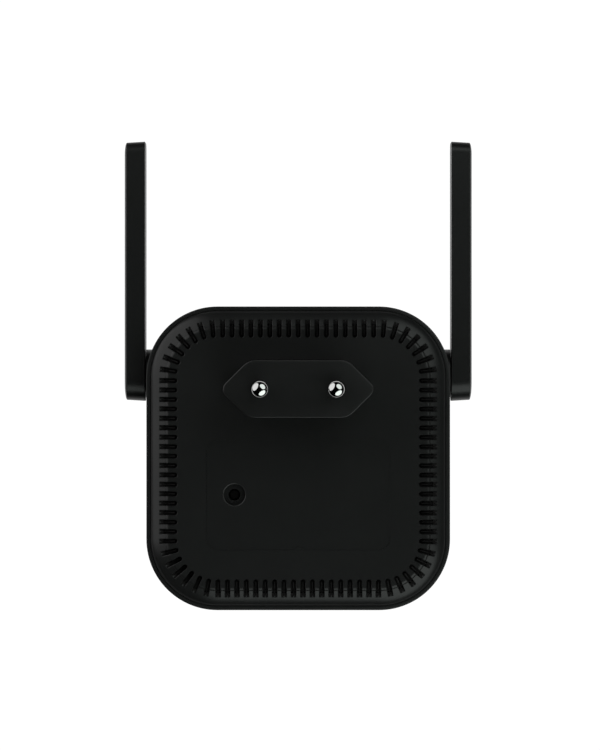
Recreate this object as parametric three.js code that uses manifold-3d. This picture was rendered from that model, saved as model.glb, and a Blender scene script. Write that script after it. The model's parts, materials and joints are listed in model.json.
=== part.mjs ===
// A plug-in Wi-Fi range extender with two folding antennas, in millimetres.
// The origin is the centre of the mains plug's face, midway between the two pins. +Y is the way the
// pins point, into the wall socket, so the front of the product faces -Y, and +Z is up. Seen from the
// front, +X is the right-hand side.
import * as THREE from "three";
import { mergeVertices } from "three/addons/utils/BufferGeometryUtils.js";
import Module from "manifold-3d";

const wasm = await Module();
wasm.setup();

// ---------- driving dimensions ----------

// case
const BODY_HALF = 37; // half the width and half the height of the rounded-square case
const BODY_CORNER = 17.3; // its corner radius
const BODY_Z = -16.9; // height of the case's centre, below the plug's axis
const FRONT_Y = -49;
const PANEL_Y = -17; // flat panel of the rear cover
const RIM_Y = -20.5; // where the rear cover meets the front cover's rim
const WALL = 2; // front cover's wall
const RIM_WIDTH = 0.95; // part of the rim that stays outside the rear cover
const SEAM = 0.1; // gap round the rear cover
const SHELF_Y = -22.1; // step in the front cover's wall that the rear cover sits on
const FRONT_INNER_Y = FRONT_Y + WALL;
const FRONT_EDGE_R = 5; // rounding of the front face's edge
const PANEL_WALL = 2;
const PANEL_INSET = 5.75; // edge of the flat panel
const STEP_INSET = 4.8; // foot of the small step round the panel
const STEP_DEPTH = 0.5;
const SLOPE_BEND = [1.45, -18.95]; // inset and height the slope's curve bends towards
const SKIRT_INSET = 2.3; // outside of the rear cover's locating skirt
const SKIRT_WALL = 1.2;
const SKIRT_END_Y = -25;
const SNAP_AT = [-14, 14]; // snaps along each side, from the case's centre
const SNAP_LENGTH = 5;
const SNAP_Y = [-24.6, -23.4];
const SNAP_REACH = 0.35;

// vent slots, spaced evenly along the rounded square that lies this far inside the case's outline
const SLOT_COUNT = 97;
const SLOT_PATH_INSET = 7;
const SLOT_OUTER_INSET = 3.2;
const SLOT_INNER_INSET = 7.6;
const SLOT_WIDTH = 1.16;
const TROUGH_Y = -18.5; // underside of the cover where the slots go through it
const TROUGH_INSET = [4.3, 9.6];
const SLOT_FLOOR_Y = TROUGH_Y - 0.05;
// a rib stands in the middle of each slot, joined to the cover at the slot's outer end
const RIB_WIDTH = 0.36;
const RIB_TOP = [[3.2, -18.22], [5.1, -18.95], [7.05, -17.5]]; // start, pull and end of its curved top

// vent baffle, a ring behind the slots
const BAFFLE_INSET = [4.5, 8.3];
const BAFFLE_WALL_INSET = [3.9, 4.9];
const BAFFLE_GAP = 0.3;
const BAFFLE_T = 0.8;

// mains plug
const PLUG_WIDTH = 36; // tip to tip
const PLUG_HEIGHT = 13.85;
const PLUG_SHOULDER_R = 4.5;
const PLUG_TIP_R = 2.1;
const PLUG_FLANGE_Y = -19.3;
const PLUG_BACK_Y = -22;
const PLUG_FLANGE_TIP = 19.6;
const PLUG_FLANGE_SHOULDER = [12.5, 8.6];
const PIN_SPACING = 18.6; // at the plug's face
const PIN_TIP_SPACING = 18;
const PIN_LENGTH = 19;
const PIN_SLEEVE_LENGTH = 10;
const PIN_R = 2;
const PIN_DOME = 1.4; // length of the pin's rounded end
const PIN_LEAN = Math.atan((PIN_SPACING - PIN_TIP_SPACING) / 2 / PIN_LENGTH);
const SLEEVE_R = 1.9;
const CORE_R = 1.3;

// blank rating label
const LABEL_WIDTH = 44.5;
const LABEL_HEIGHT = 26.7;
const LABEL_Z = -25.75;
const LABEL_CORNER = 2.9;
const LABEL_NOTCH = 0.9;
const LABEL_RECESS = 0.2;
const LABEL_GAP = 0.15;

// reset button, pressed with a pin through a hole in the rear panel
const RESET_X = 15.5;
const RESET_Z = -25.7;
const RESET_RECESS_R = 2.65;
const RESET_RECESS_DEPTH = 1.5;
const RESET_HOLE_R = 1.42;
const RESET_GUIDE_R = 2.6;
const RESET_GUIDE_END_Y = -31;
const RESET_TOP_Y = -19.4; // end of the stem, behind the hole
const RESET_TRAVEL = 0.3;

// light window in the front face
const LIGHT_WIDTH = 6;
const LIGHT_HEIGHT = 1.6;
const LIGHT_Z = -40;

// antennas
const HINGE_Y = -35;
const HINGE_Z = 3.75;
const HINGE_BOSS_R = 5.95;
const HINGE_BOSS_X = 37.42; // the boss stands a little proud of the case
const HINGE_BOSS_INNER_X = 33;
const HINGE_HOLE_R = 3.1;
const HUB_R = 4.33;
const HUB_X = 37.48;
const BARREL_R = 3;
const BARREL_BORE_R = 1.2;
const BARREL_END_X = 30.3;
const CLIP_GROOVE_X = [31.2, 32.1];
const PADDLE_INNER_X = 37.6;
const PADDLE_OUTER_X = 42.65;
const PADDLE_DEPTH = 13.25;
const PADDLE_LENGTH = 63.7;
const PADDLE_BELOW_HINGE = 6.72;
const PADDLE_TOP_R = 2.5;
const PADDLE_FOOT_R = 4.8;
const LID_THICKNESS = 1.1;
const LID_RIM = 0.85; // paddle rim that hides the lid's edge

// boards
const POWER_BOARD_Y = -27; // rear face
const POWER_BOARD_T = 1.6;
const MAIN_BOARD_Y = -43; // rear face
const MAIN_BOARD_T = 1.2;
const BOARD_INSET = 3.3;
const POWER_BOARD_END_Z = -19.5;
const PCB_GAP = 0.1; // solder gap under a component
const MAIN_SCREW_AT = [[-22, -44], [22, -44], [-22, 6], [22, 6]];
const POWER_SCREW_AT = [[-25, -15], [25, -15]];
const SCREW_R = 0.85;
const SCREW_HOLE_R = 1;
const POST_R = 2.4;
const RESET_SWITCH_TOP_Y = MAIN_BOARD_Y + 3.5;
const RESET_SOCKET_Y = RESET_SWITCH_TOP_Y - 1.4;

const ARC_STEPS = 8; // steps in a quarter turn of the case

// ---------- geometry helpers ----------

// A position-only copy with its shared vertices merged.
function merged(geometry) {
  const bare = geometry.index ? geometry.toNonIndexed() : geometry.clone();
  const only = new THREE.BufferGeometry();
  only.setAttribute("position", bare.getAttribute("position"));
  return mergeVertices(only, 1e-4);
}

function signedVolume(geometry) {
  const at = geometry.getAttribute("position");
  const index = geometry.index.array;
  const [a, b, c] = [new THREE.Vector3(), new THREE.Vector3(), new THREE.Vector3()];
  let sum = 0;
  for (let i = 0; i < index.length; i += 3) {
    a.fromBufferAttribute(at, index[i]);
    b.fromBufferAttribute(at, index[i + 1]);
    c.fromBufferAttribute(at, index[i + 2]);
    sum += a.dot(b.cross(c));
  }
  return sum / 6;
}

// Turns every face over if the closed geometry is inside out.
function outward(geometry) {
  const g = merged(geometry);
  if (signedVolume(g) < 0) {
    const index = g.index.array;
    for (let i = 0; i < index.length; i += 3) {
      [index[i + 1], index[i + 2]] = [index[i + 2], index[i + 1]];
    }
  }
  return g;
}

function solid(geometry) {
  const g = outward(geometry);
  const mesh = new wasm.Mesh({
    numProp: 3,
    vertProperties: new Float32Array(g.getAttribute("position").array),
    triVerts: new Uint32Array(g.index.array),
  });
  return new wasm.Manifold(mesh);
}

function fromSolid(made) {
  const mesh = made.getMesh();
  const g = new THREE.BufferGeometry();
  g.setAttribute("position", new THREE.BufferAttribute(new Float32Array(mesh.vertProperties), 3));
  g.setIndex(new THREE.BufferAttribute(new Uint32Array(mesh.triVerts), 1));
  return g;
}

// One geometry from a base, pieces joined to it and pieces then cut from it.
function carve(base, joins, cuts) {
  let made = solid(base);
  for (const piece of joins) made = made.add(solid(piece));
  for (const piece of cuts) made = made.subtract(solid(piece));
  return fromSolid(made);
}

function box(x0, x1, y0, y1, z0, z1) {
  const g = new THREE.BoxGeometry(Math.abs(x1 - x0), Math.abs(y1 - y0), Math.abs(z1 - z0));
  return g.translate((x0 + x1) / 2, (y0 + y1) / 2, (z0 + z1) / 2);
}

// A solid of revolution about the line along Y through (x, z): profile holds [radius, y] pairs.
function lathedY(profile, x, z, segments = 24) {
  const points = profile.map(([r, y]) => new THREE.Vector2(r, y));
  return new THREE.LatheGeometry(points, segments).translate(x, 0, z);
}

// The same about the line along X through (y, z): profile holds [radius, x] pairs.
function lathedX(profile, y, z, segments = 24) {
  const points = profile.map(([r, x]) => new THREE.Vector2(r, x));
  return new THREE.LatheGeometry(points, segments).rotateZ(-Math.PI / 2).translate(0, y, z);
}

function rodY(r, y0, y1, x, z, segments = 24) {
  return lathedY([[0, y0], [r, y0], [r, y1], [0, y1]], x, z, segments);
}

function rodX(r, x0, x1, y, z, segments = 24) {
  return lathedX([[0, x0], [r, x0], [r, x1], [0, x1]], y, z, segments);
}

function ringX(rIn, rOut, x0, x1, y, z, segments = 24) {
  return lathedX([[rIn, x0], [rOut, x0], [rOut, x1], [rIn, x1], [rIn, x0]], y, z, segments);
}

// A flat outline in the X-Z plane, given thickness from y0 to y1.
function slabY(shape, y0, y1, curveSegments = 3) {
  const depth = Math.abs(y1 - y0);
  const g = new THREE.ExtrudeGeometry(shape, { depth, bevelEnabled: false, curveSegments });
  return g.rotateX(Math.PI / 2).translate(0, Math.max(y0, y1), 0);
}

// A flat outline in the Y-Z plane, given thickness from x0 to x1.
function slabX(shape, x0, x1, curveSegments = 2) {
  const depth = Math.abs(x1 - x0);
  const g = new THREE.ExtrudeGeometry(shape, { depth, bevelEnabled: false, curveSegments });
  const turn = new THREE.Matrix4().makeBasis(
    new THREE.Vector3(0, 1, 0), new THREE.Vector3(0, 0, 1), new THREE.Vector3(1, 0, 0));
  return g.applyMatrix4(turn).translate(Math.min(x0, x1), 0, 0);
}

// A round wire or cable along a smooth curve through the points, with eight sides.
function cable(points, radius, steps) {
  const section = new THREE.Shape();
  section.absarc(0, 0, radius, 0, Math.PI * 2);
  const path = new THREE.CatmullRomCurve3(points.map((p) => new THREE.Vector3(...p)), false, "centripetal");
  return new THREE.ExtrudeGeometry(section, { steps, extrudePath: path, curveSegments: 4 });
}

// Points of a rounded rectangle about (cu, cv), each corner in a number of steps; its two low corners
// may have a radius of their own.
function roundedRing(halfU, halfV, highR, cu, cv, steps = ARC_STEPS, lowR = highR) {
  const points = [];
  const quarters = [[1, 1], [-1, 1], [-1, -1], [1, -1]];
  quarters.forEach(([su, sv], q) => {
    for (let i = 0; i <= steps; i++) {
      const a = (q + i / steps) * (Math.PI / 2);
      const corner = sv > 0 ? highR : lowR;
      const u = cu + su * (halfU - corner) + corner * Math.cos(a);
      const v = cv + sv * (halfV - corner) + corner * Math.sin(a);
      points.push([u, v]);
    }
  });
  return points;
}

// Skins a list of rings of 3-D points: capped at both ends, or joined last to first when looped.
function skin(rings, looped = false) {
  const n = rings[0].length;
  const positions = rings.flat().flat();
  const index = [];
  const strips = looped ? rings.length : rings.length - 1;
  for (let k = 0; k < strips; k++) {
    const next = (k + 1) % rings.length;
    for (let i = 0; i < n; i++) {
      const j = (i + 1) % n;
      const [a, b, c, d] = [k * n + i, k * n + j, next * n + j, next * n + i];
      index.push(a, b, c, a, c, d);
    }
  }
  if (!looped) {
    for (const [k, flip] of [[0, true], [rings.length - 1, false]]) {
      const ring = rings[k];
      const centre = positions.length / 3;
      for (let axis = 0; axis < 3; axis++) {
        positions.push(ring.reduce((sum, p) => sum + p[axis], 0) / n);
      }
      for (let i = 0; i < n; i++) {
        const j = (i + 1) % n;
        if (flip) index.push(k * n + j, k * n + i, centre);
        else index.push(k * n + i, k * n + j, centre);
      }
    }
  }
  const g = new THREE.BufferGeometry();
  g.setAttribute("position", new THREE.BufferAttribute(new Float32Array(positions), 3));
  g.setIndex(index);
  return g;
}

// Rings of the case's rounded square: profile holds [inset, y] pairs.
function caseSkin(profile, looped = false) {
  const rings = profile.map(([inset, y]) => {
    const half = BODY_HALF - inset;
    const corner = Math.max(BODY_CORNER - inset, 1);
    return roundedRing(half, half, corner, 0, BODY_Z).map(([x, z]) => [x, y, z]);
  });
  return skin(rings, looped);
}

// Points of a quadratic curve from a to c that leaves and arrives towards b.
function bend(a, b, c, steps) {
  const points = [];
  for (let i = 0; i <= steps; i++) {
    const t = i / steps;
    const [p, q, r] = [(1 - t) * (1 - t), 2 * t * (1 - t), t * t];
    points.push([p * a[0] + q * b[0] + r * c[0], p * a[1] + q * b[1] + r * c[1]]);
  }
  return points;
}

// A quarter-round from one [inset, y] pair to another, bulging outwards.
function quarter(insetFlat, yFlat, insetSide, ySide, steps) {
  const points = [];
  for (let i = 0; i <= steps; i++) {
    const a = ((i / steps) * Math.PI) / 2;
    const inset = insetFlat + (insetSide - insetFlat) * Math.sin(a);
    const y = ySide + (yFlat - ySide) * Math.cos(a);
    points.push([inset, y]);
  }
  return points;
}

function roundedShape(w, h, r, cx = 0, cz = 0) {
  const [x, z] = [w / 2 - r, h / 2 - r];
  const s = new THREE.Shape();
  s.absarc(cx + x, cz + z, r, 0, Math.PI / 2);
  s.absarc(cx - x, cz + z, r, Math.PI / 2, Math.PI);
  s.absarc(cx - x, cz - z, r, Math.PI, 1.5 * Math.PI);
  s.absarc(cx + x, cz - z, r, 1.5 * Math.PI, 2 * Math.PI);
  s.closePath();
  return s;
}

// An outline with each corner rounded: corners holds [x, z, radius], anticlockwise.
function filletedShape(corners) {
  const s = new THREE.Shape();
  corners.forEach(([x, z, r], i) => {
    const before = corners[(i + corners.length - 1) % corners.length];
    const after = corners[(i + 1) % corners.length];
    const here = new THREE.Vector2(x, z);
    const back = new THREE.Vector2(before[0], before[1]).sub(here).normalize();
    const on = new THREE.Vector2(after[0], after[1]).sub(here).normalize();
    const half = Math.acos(back.dot(on)) / 2;
    const run = r / Math.tan(half);
    const centre = here.clone().add(back.clone().add(on).normalize().multiplyScalar(r / Math.sin(half)));
    const from = here.clone().addScaledVector(back, run).sub(centre);
    const to = here.clone().addScaledVector(on, run).sub(centre);
    s.absarc(centre.x, centre.y, r, from.angle(), to.angle(), false);
  });
  s.closePath();
  return s;
}

// ---------- the object ----------

const extender = new THREE.Group();

const finishes = {
  caseBlack: [0x17181a, 0.5, 0],
  coverBlack: [0x191a1b, 0.45, 0],
  plugBlack: [0x161717, 0.4, 0],
  baffleBlack: [0x1d1e1f, 0.6, 0],
  labelBlack: [0x181919, 0.35, 0],
  nickel: [0xc9cacb, 0.18, 1],
  brass: [0xb08d4a, 0.3, 1],
  steel: [0xa9abad, 0.3, 1],
  tin: [0xb4b6b8, 0.35, 1],
  aluminium: [0xb9bbbd, 0.4, 1],
  board: [0x1f5a34, 0.45, 0],
  ceramicBlue: [0x2d5fa8, 0.4, 0],
  ceramicWhite: [0xd8d6cf, 0.6, 0],
  chip: [0x1b1b1d, 0.5, 0],
  ferrite: [0x3a3b3d, 0.65, 0],
  tape: [0xc9a53a, 0.4, 0],
  sleeveBlue: [0x22304f, 0.35, 0],
  boxYellow: [0xc7a22f, 0.5, 0],
  paper: [0xbfb9a6, 0.8, 0],
  pad: [0x7d8fa6, 0.8, 0],
  jacket: [0x202124, 0.45, 0],
  lens: [0xdfe6ea, 0.15, 0],
  stem: [0x141414, 0.5, 0],
};

function piece(name, geometry, finish, group = extender) {
  const [color, roughness, metalness] = finishes[finish];
  const material = new THREE.MeshStandardMaterial({ color, roughness, metalness });
  const mesh = new THREE.Mesh(outward(geometry), material);
  mesh.name = name;
  group.add(mesh);
  return mesh;
}

// The plug's hexagon, its faces at 45 degrees, grown outwards by a gap.
function plugShape(grow = 0) {
  const tip = PLUG_WIDTH / 2 + grow * Math.SQRT2;
  const top = PLUG_HEIGHT / 2 + grow;
  // Rounding a square tip of this radius pulls it back, so the sharp tip lies further out.
  const sharp = tip + PLUG_TIP_R * (Math.SQRT2 - 1);
  const shoulder = sharp - top;
  return filletedShape([
    [sharp, 0, PLUG_TIP_R],
    [shoulder, top, PLUG_SHOULDER_R],
    [-shoulder, top, PLUG_SHOULDER_R],
    [-sharp, 0, PLUG_TIP_R],
    [-shoulder, -top, PLUG_SHOULDER_R],
    [shoulder, -top, PLUG_SHOULDER_R],
  ]);
}

// Places along the slot path, from the top centre: [x, z, angle of the outward direction].
function slotPlaces() {
  const half = BODY_HALF - SLOT_PATH_INSET;
  const corner = BODY_CORNER - SLOT_PATH_INSET;
  const straight = half - corner;
  const arc = (Math.PI / 2) * corner;
  const round = 8 * straight + 4 * arc;
  const places = [];
  for (let i = 0; i < SLOT_COUNT; i++) {
    let s = (i * round) / SLOT_COUNT + straight;
    let side = 0;
    while (s > 2 * straight + arc) {
      s -= 2 * straight + arc;
      side += 1;
    }
    // Worked out for the top side, then turned to the side it belongs to.
    const onArc = Math.max(s - 2 * straight, 0);
    const turn = onArc / corner;
    const x = s < 2 * straight ? s - straight : straight + corner * Math.sin(turn);
    const z = s < 2 * straight ? half : straight + corner * Math.cos(turn);
    const back = (-side * Math.PI) / 2;
    const place = new THREE.Vector2(x, z).rotateAround(new THREE.Vector2(0, 0), back);
    places.push([place.x, place.y + BODY_Z, Math.PI / 2 - turn + back]);
  }
  return places;
}

// Two solids for each slot: a U of air round the rib, cut right through, and the air above the rib.
function slotCutters() {
  const at = (inset) => SLOT_PATH_INSET - inset;
  const [outer, inner, ribEnd] = [at(SLOT_OUTER_INSET), at(SLOT_INNER_INSET), at(RIB_TOP.at(-1)[0])];
  const [r, rib] = [SLOT_WIDTH / 2, RIB_WIDTH / 2];
  return slotPlaces().flatMap(([x, z, angle]) => {
    const channel = new THREE.Shape();
    channel.moveTo(outer, -r);
    channel.lineTo(outer, -rib);
    channel.lineTo(ribEnd, -rib);
    channel.lineTo(ribEnd, rib);
    channel.lineTo(outer, rib);
    channel.lineTo(outer, r);
    channel.lineTo(inner + r, r);
    channel.absarc(inner + r, 0, r, Math.PI / 2, 1.5 * Math.PI);
    channel.closePath();
    const above = new THREE.Shape();
    above.moveTo(outer + 0.1, PANEL_Y + 1);
    above.lineTo(outer + 0.1, RIB_TOP[0][1]);
    for (const [inset, y] of bend(...RIB_TOP, 4)) above.lineTo(at(inset), y);
    above.lineTo(ribEnd - 0.1, RIB_TOP.at(-1)[1]);
    above.lineTo(ribEnd - 0.1, PANEL_Y + 1);
    above.closePath();
    const overRib = new THREE.ExtrudeGeometry(above, { depth: 2 * rib + 0.1, bevelEnabled: false });
    return [slabY(channel, SLOT_FLOOR_Y, PANEL_Y + 1, 1), overRib.translate(0, 0, -rib - 0.05)]
      .map((cutter) => cutter.rotateY(-angle).translate(x, 0, z));
  });
}

// A block on each straight side of the case, between two insets.
function snapBlocks(insetOut, insetIn, length, yLow, yHigh) {
  const blocks = [];
  for (const at of SNAP_AT) {
    for (const side of [-1, 1]) {
      const out = side * (BODY_HALF - insetOut);
      const inner = side * (BODY_HALF - insetIn);
      blocks.push(box(out, inner, yLow, yHigh, BODY_Z + at - length / 2, BODY_Z + at + length / 2));
      blocks.push(box(at - length / 2, at + length / 2, yLow, yHigh, BODY_Z + out, BODY_Z + inner));
    }
  }
  return blocks;
}

function frontCover() {
  const shell = caseSkin([
    ...quarter(FRONT_EDGE_R, FRONT_Y, 0, FRONT_Y + FRONT_EDGE_R, 4),
    [0, RIM_Y],
    [RIM_WIDTH, RIM_Y],
    [RIM_WIDTH, SHELF_Y],
    [WALL, SHELF_Y],
    [WALL, FRONT_INNER_Y + 2.5],
    [WALL + 2.5, FRONT_INNER_Y],
  ]);
  const joins = [];
  const cuts = [];
  for (const side of [-1, 1]) {
    const [inner, outer] = [side * HINGE_BOSS_INNER_X, side * HINGE_BOSS_X];
    joins.push(rodX(HINGE_BOSS_R, inner, outer, HINGE_Y, HINGE_Z, 32));
    cuts.push(rodX(HINGE_HOLE_R, inner - side, outer + side, HINGE_Y, HINGE_Z, 24));
  }
  for (const [x, z] of MAIN_SCREW_AT) {
    const top = MAIN_BOARD_Y - MAIN_BOARD_T - PCB_GAP;
    joins.push(rodY(POST_R, FRONT_INNER_Y - 0.5, top, x, z, 12));
    cuts.push(rodY(SCREW_HOLE_R, FRONT_INNER_Y + 0.2, top + 1, x, z, 12));
  }
  const snapRoom = [SNAP_Y[0] - 0.3, SNAP_Y[1] + 0.2];
  cuts.push(...snapBlocks(SKIRT_INSET - 1.1, SKIRT_INSET + 0.2, SNAP_LENGTH + 0.6, ...snapRoom));
  cuts.push(slabY(roundedShape(LIGHT_WIDTH + 0.2, LIGHT_HEIGHT + 0.2, LIGHT_HEIGHT / 2 + 0.1, 0, LIGHT_Z),
    FRONT_Y - 1, FRONT_INNER_Y + 1));
  return carve(shell, joins, cuts);
}

function rearCover() {
  const shell = caseSkin([
    ...bend([PANEL_INSET, PANEL_Y], [STEP_INSET + 0.25, PANEL_Y], [STEP_INSET, PANEL_Y - STEP_DEPTH], 2),
    ...bend([STEP_INSET, PANEL_Y - STEP_DEPTH], SLOPE_BEND, [RIM_WIDTH + SEAM, RIM_Y], 4).slice(1),
    [RIM_WIDTH + SEAM, SHELF_Y + SEAM],
    [SKIRT_INSET, SHELF_Y + SEAM],
    [SKIRT_INSET, SKIRT_END_Y],
    [SKIRT_INSET + SKIRT_WALL, SKIRT_END_Y],
    [SKIRT_INSET + SKIRT_WALL, RIM_Y + 0.3],
    [TROUGH_INSET[0], TROUGH_Y],
    [TROUGH_INSET[1], TROUGH_Y],
    [TROUGH_INSET[1], PANEL_Y - PANEL_WALL],
  ]);
  const joins = snapBlocks(SKIRT_INSET - SNAP_REACH, SKIRT_INSET + 0.4, SNAP_LENGTH, SNAP_Y[0], SNAP_Y[1]);
  const underside = PANEL_Y - PANEL_WALL + 0.5;
  for (const [x, z] of POWER_SCREW_AT) {
    joins.push(rodY(POST_R, POWER_BOARD_Y + PCB_GAP, underside, x, z, 12));
  }
  joins.push(rodY(RESET_GUIDE_R, RESET_GUIDE_END_Y, underside, RESET_X, RESET_Z, 16));
  const cuts = slotCutters();
  cuts.push(slabY(plugShape(0.1), PANEL_Y + 1, PANEL_Y - 4));
  cuts.push(slabY(labelShape(LABEL_GAP), PANEL_Y - LABEL_RECESS, PANEL_Y + 1, 3));
  cuts.push(rodY(RESET_RECESS_R, PANEL_Y - RESET_RECESS_DEPTH, PANEL_Y + 1, RESET_X, RESET_Z, 20));
  cuts.push(rodY(RESET_HOLE_R, RESET_GUIDE_END_Y - 1, PANEL_Y, RESET_X, RESET_Z, 14));
  for (const [x, z] of POWER_SCREW_AT) {
    cuts.push(rodY(SCREW_HOLE_R, POWER_BOARD_Y - 1, POWER_BOARD_Y + 5, x, z, 12));
  }
  return carve(shell, joins, cuts);
}

// An L-section ring: a flange behind the slots, and a wall inside the cover's skirt.
function ventBaffle() {
  const top = TROUGH_Y - BAFFLE_GAP;
  const [wallOut, wallIn] = BAFFLE_WALL_INSET;
  const foot = SKIRT_END_Y + 0.4;
  return caseSkin([
    [BAFFLE_INSET[0], top],
    [BAFFLE_INSET[1], top],
    [BAFFLE_INSET[1], top - BAFFLE_T],
    [wallIn, top - BAFFLE_T],
    [wallIn, foot],
    [wallOut, foot],
    [wallOut, RIM_Y + 0.5],
  ], true);
}

// The label's outline: a rounded rectangle with a small notch in its lower edge.
function labelShape(grow = 0) {
  const [w, h, r] = [LABEL_WIDTH / 2 + grow, LABEL_HEIGHT / 2 + grow, LABEL_CORNER];
  const s = new THREE.Shape();
  s.absarc(w - r, LABEL_Z + h - r, r, 0, Math.PI / 2);
  s.absarc(-w + r, LABEL_Z + h - r, r, Math.PI / 2, Math.PI);
  s.absarc(-w + r, LABEL_Z - h + r, r, Math.PI, 1.5 * Math.PI);
  s.absarc(0, LABEL_Z - h, LABEL_NOTCH - grow, Math.PI, 0, true);
  s.absarc(w - r, LABEL_Z - h + r, r, 1.5 * Math.PI, 2 * Math.PI);
  s.closePath();
  return s;
}

function ratingLabel() {
  const label = slabY(labelShape(), PANEL_Y - LABEL_RECESS + 0.03, PANEL_Y - 0.03, 3);
  return carve(label, [], [rodY(RESET_RECESS_R + 0.3, PANEL_Y - 1, PANEL_Y + 1, RESET_X, RESET_Z, 20)]);
}

// The line of one pin: a group at the plug's face, leaning in towards the other pin.
function pinGroup(side) {
  const group = new THREE.Group();
  group.position.set((side * PIN_SPACING) / 2, 0, 0);
  group.rotation.z = side * PIN_LEAN;
  return group;
}

function plugHousing() {
  const tip = PLUG_FLANGE_TIP;
  const [u, v] = PLUG_FLANGE_SHOULDER;
  const flange = filletedShape([[tip, 0, 2], [u, v, 4], [-u, v, 4], [-tip, 0, 2], [-u, -v, 4], [u, -v, 4]]);
  const joins = [slabY(flange, PLUG_BACK_Y, PLUG_FLANGE_Y, 2)];
  const cuts = [];
  for (const side of [-1, 1]) {
    const bore = rodY(SLEEVE_R + 0.1, PLUG_BACK_Y - 1, 1, 0, 0, 20);
    const { rotation, position } = pinGroup(side);
    cuts.push(bore.rotateZ(rotation.z).translate(position.x, 0, 0));
  }
  return carve(slabY(plugShape(), PLUG_BACK_Y, 0), joins, cuts);
}

function mainsPin(side) {
  const name = side > 0 ? "right" : "left";
  const group = pinGroup(side);
  const tipStart = PIN_SLEEVE_LENGTH + 0.1;
  const profile = [
    [0, PLUG_BACK_Y - 1.5],
    [CORE_R, PLUG_BACK_Y - 1.5],
    [CORE_R, tipStart],
    [PIN_R - 0.2, tipStart],
    [PIN_R, tipStart + 0.2],
  ];
  for (let i = 0; i <= 5; i++) {
    const a = ((i / 5) * Math.PI) / 2;
    profile.push([PIN_R * Math.cos(a), PIN_LENGTH - PIN_DOME * (1 - Math.sin(a))]);
  }
  profile[profile.length - 1][0] = 0;
  piece("mains_pin_" + name, lathedY(profile, 0, 0, 20), "nickel", group);
  const inner = CORE_R + 0.06;
  const sleeve = [
    [inner, PLUG_BACK_Y + 1], [SLEEVE_R, PLUG_BACK_Y + 1], [SLEEVE_R, PIN_SLEEVE_LENGTH],
    [inner, PIN_SLEEVE_LENGTH], [inner, PLUG_BACK_Y + 1],
  ];
  piece("pin_sleeve_" + name, lathedY(sleeve, 0, 0, 20), "plugBlack", group);
  extender.add(group);
}

// A bent brass strip that presses on the pin's inner end and stands on the power board.
function pinContact(side) {
  const x = (side * PIN_SPACING) / 2;
  const s = new THREE.Shape();
  const top = PLUG_BACK_Y - 2.15;
  s.moveTo(-2.4, top);
  s.lineTo(2.4, top);
  s.lineTo(2.4, POWER_BOARD_Y + PCB_GAP);
  s.lineTo(5.6, POWER_BOARD_Y + PCB_GAP);
  s.lineTo(5.6, POWER_BOARD_Y + PCB_GAP + 0.5);
  s.lineTo(2.9, POWER_BOARD_Y + PCB_GAP + 0.5);
  s.lineTo(2.9, top + 0.5);
  s.lineTo(-2.4, top + 0.5);
  s.closePath();
  // The outline is drawn in X-Y and given its width along Z.
  const strip = new THREE.ExtrudeGeometry(s, { depth: 4, bevelEnabled: false });
  strip.translate(0, 0, -2);
  if (side < 0) strip.rotateY(Math.PI);
  return strip.translate(x, 0, 0);
}

// ---------- boards and what they carry ----------

// A board that follows the case's rounded square, cut off level below zLow.
function boardSlab(rearY, thickness, zLow, cuts = []) {
  const half = BODY_HALF - BOARD_INSET;
  const r = BODY_CORNER - BOARD_INSET;
  const outline = roundedShape(2 * half, 2 * half, r, 0, BODY_Z);
  const slab = slabY(outline, rearY - thickness, rearY, 4);
  const below = box(-half - 1, half + 1, rearY - thickness - 1, rearY + 1, BODY_Z - half - 1, zLow);
  return carve(slab, [], [below, ...cuts]);
}

function powerBoard() {
  const [low, high] = [POWER_BOARD_Y - 3, POWER_BOARD_Y + 1];
  const cuts = POWER_SCREW_AT.map(([x, z]) => rodY(SCREW_HOLE_R, low, high, x, z, 12));
  return boardSlab(POWER_BOARD_Y, POWER_BOARD_T, POWER_BOARD_END_Z, cuts);
}

function mainBoard() {
  const [low, high] = [MAIN_BOARD_Y - 3, MAIN_BOARD_Y + 1];
  const cuts = MAIN_SCREW_AT.map(([x, z]) => rodY(SCREW_HOLE_R, low, high, x, z, 12));
  return boardSlab(MAIN_BOARD_Y, MAIN_BOARD_T, BODY_Z - BODY_HALF + BOARD_INSET - 0.5, cuts);
}

// A pan-head screw along Y: the head's underside is at seatY, and dir is the way its tip points.
function screw(x, z, seatY, dir, length) {
  const sign = Math.sign(dir);
  const profile = [
    [0, seatY - sign * 1.4],
    [1.1, seatY - sign * 1.3],
    [1.8, seatY - sign * 0.6],
    [1.8, seatY],
    [SCREW_R, seatY],
    [SCREW_R, seatY + sign * (length - 0.8)],
    [0, seatY + sign * length],
  ];
  const slot = box(x - 1.2, x + 1.2, seatY - sign * 0.9, seatY - sign * 2, z - 0.2, z + 0.2);
  const crossSlot = box(x - 0.2, x + 0.2, seatY - sign * 0.9, seatY - sign * 2, z - 1.2, z + 1.2);
  return carve(lathedY(profile, x, z, 12), [], [slot, crossSlot]);
}

function addScrews() {
  MAIN_SCREW_AT.forEach(([x, z], i) => {
    piece("main_board_screw_" + (i + 1), screw(x, z, MAIN_BOARD_Y + PCB_GAP, -1, 3.6), "steel");
  });
  const seat = POWER_BOARD_Y - POWER_BOARD_T - PCB_GAP;
  POWER_SCREW_AT.forEach(([x, z], i) => {
    piece("power_board_screw_" + (i + 1), screw(x, z, seat, 1, 6), "steel");
  });
}

// An electrolytic can lying along X, with the crimp groove near its sealed end.
function lyingCan(r, length, x, y, z) {
  return lathedX([
    [0, x], [r, x], [r, x + 1.6], [r - 0.4, x + 2], [r, x + 2.4], [r, x + length], [0, x + length],
  ], y, z, 14);
}

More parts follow.
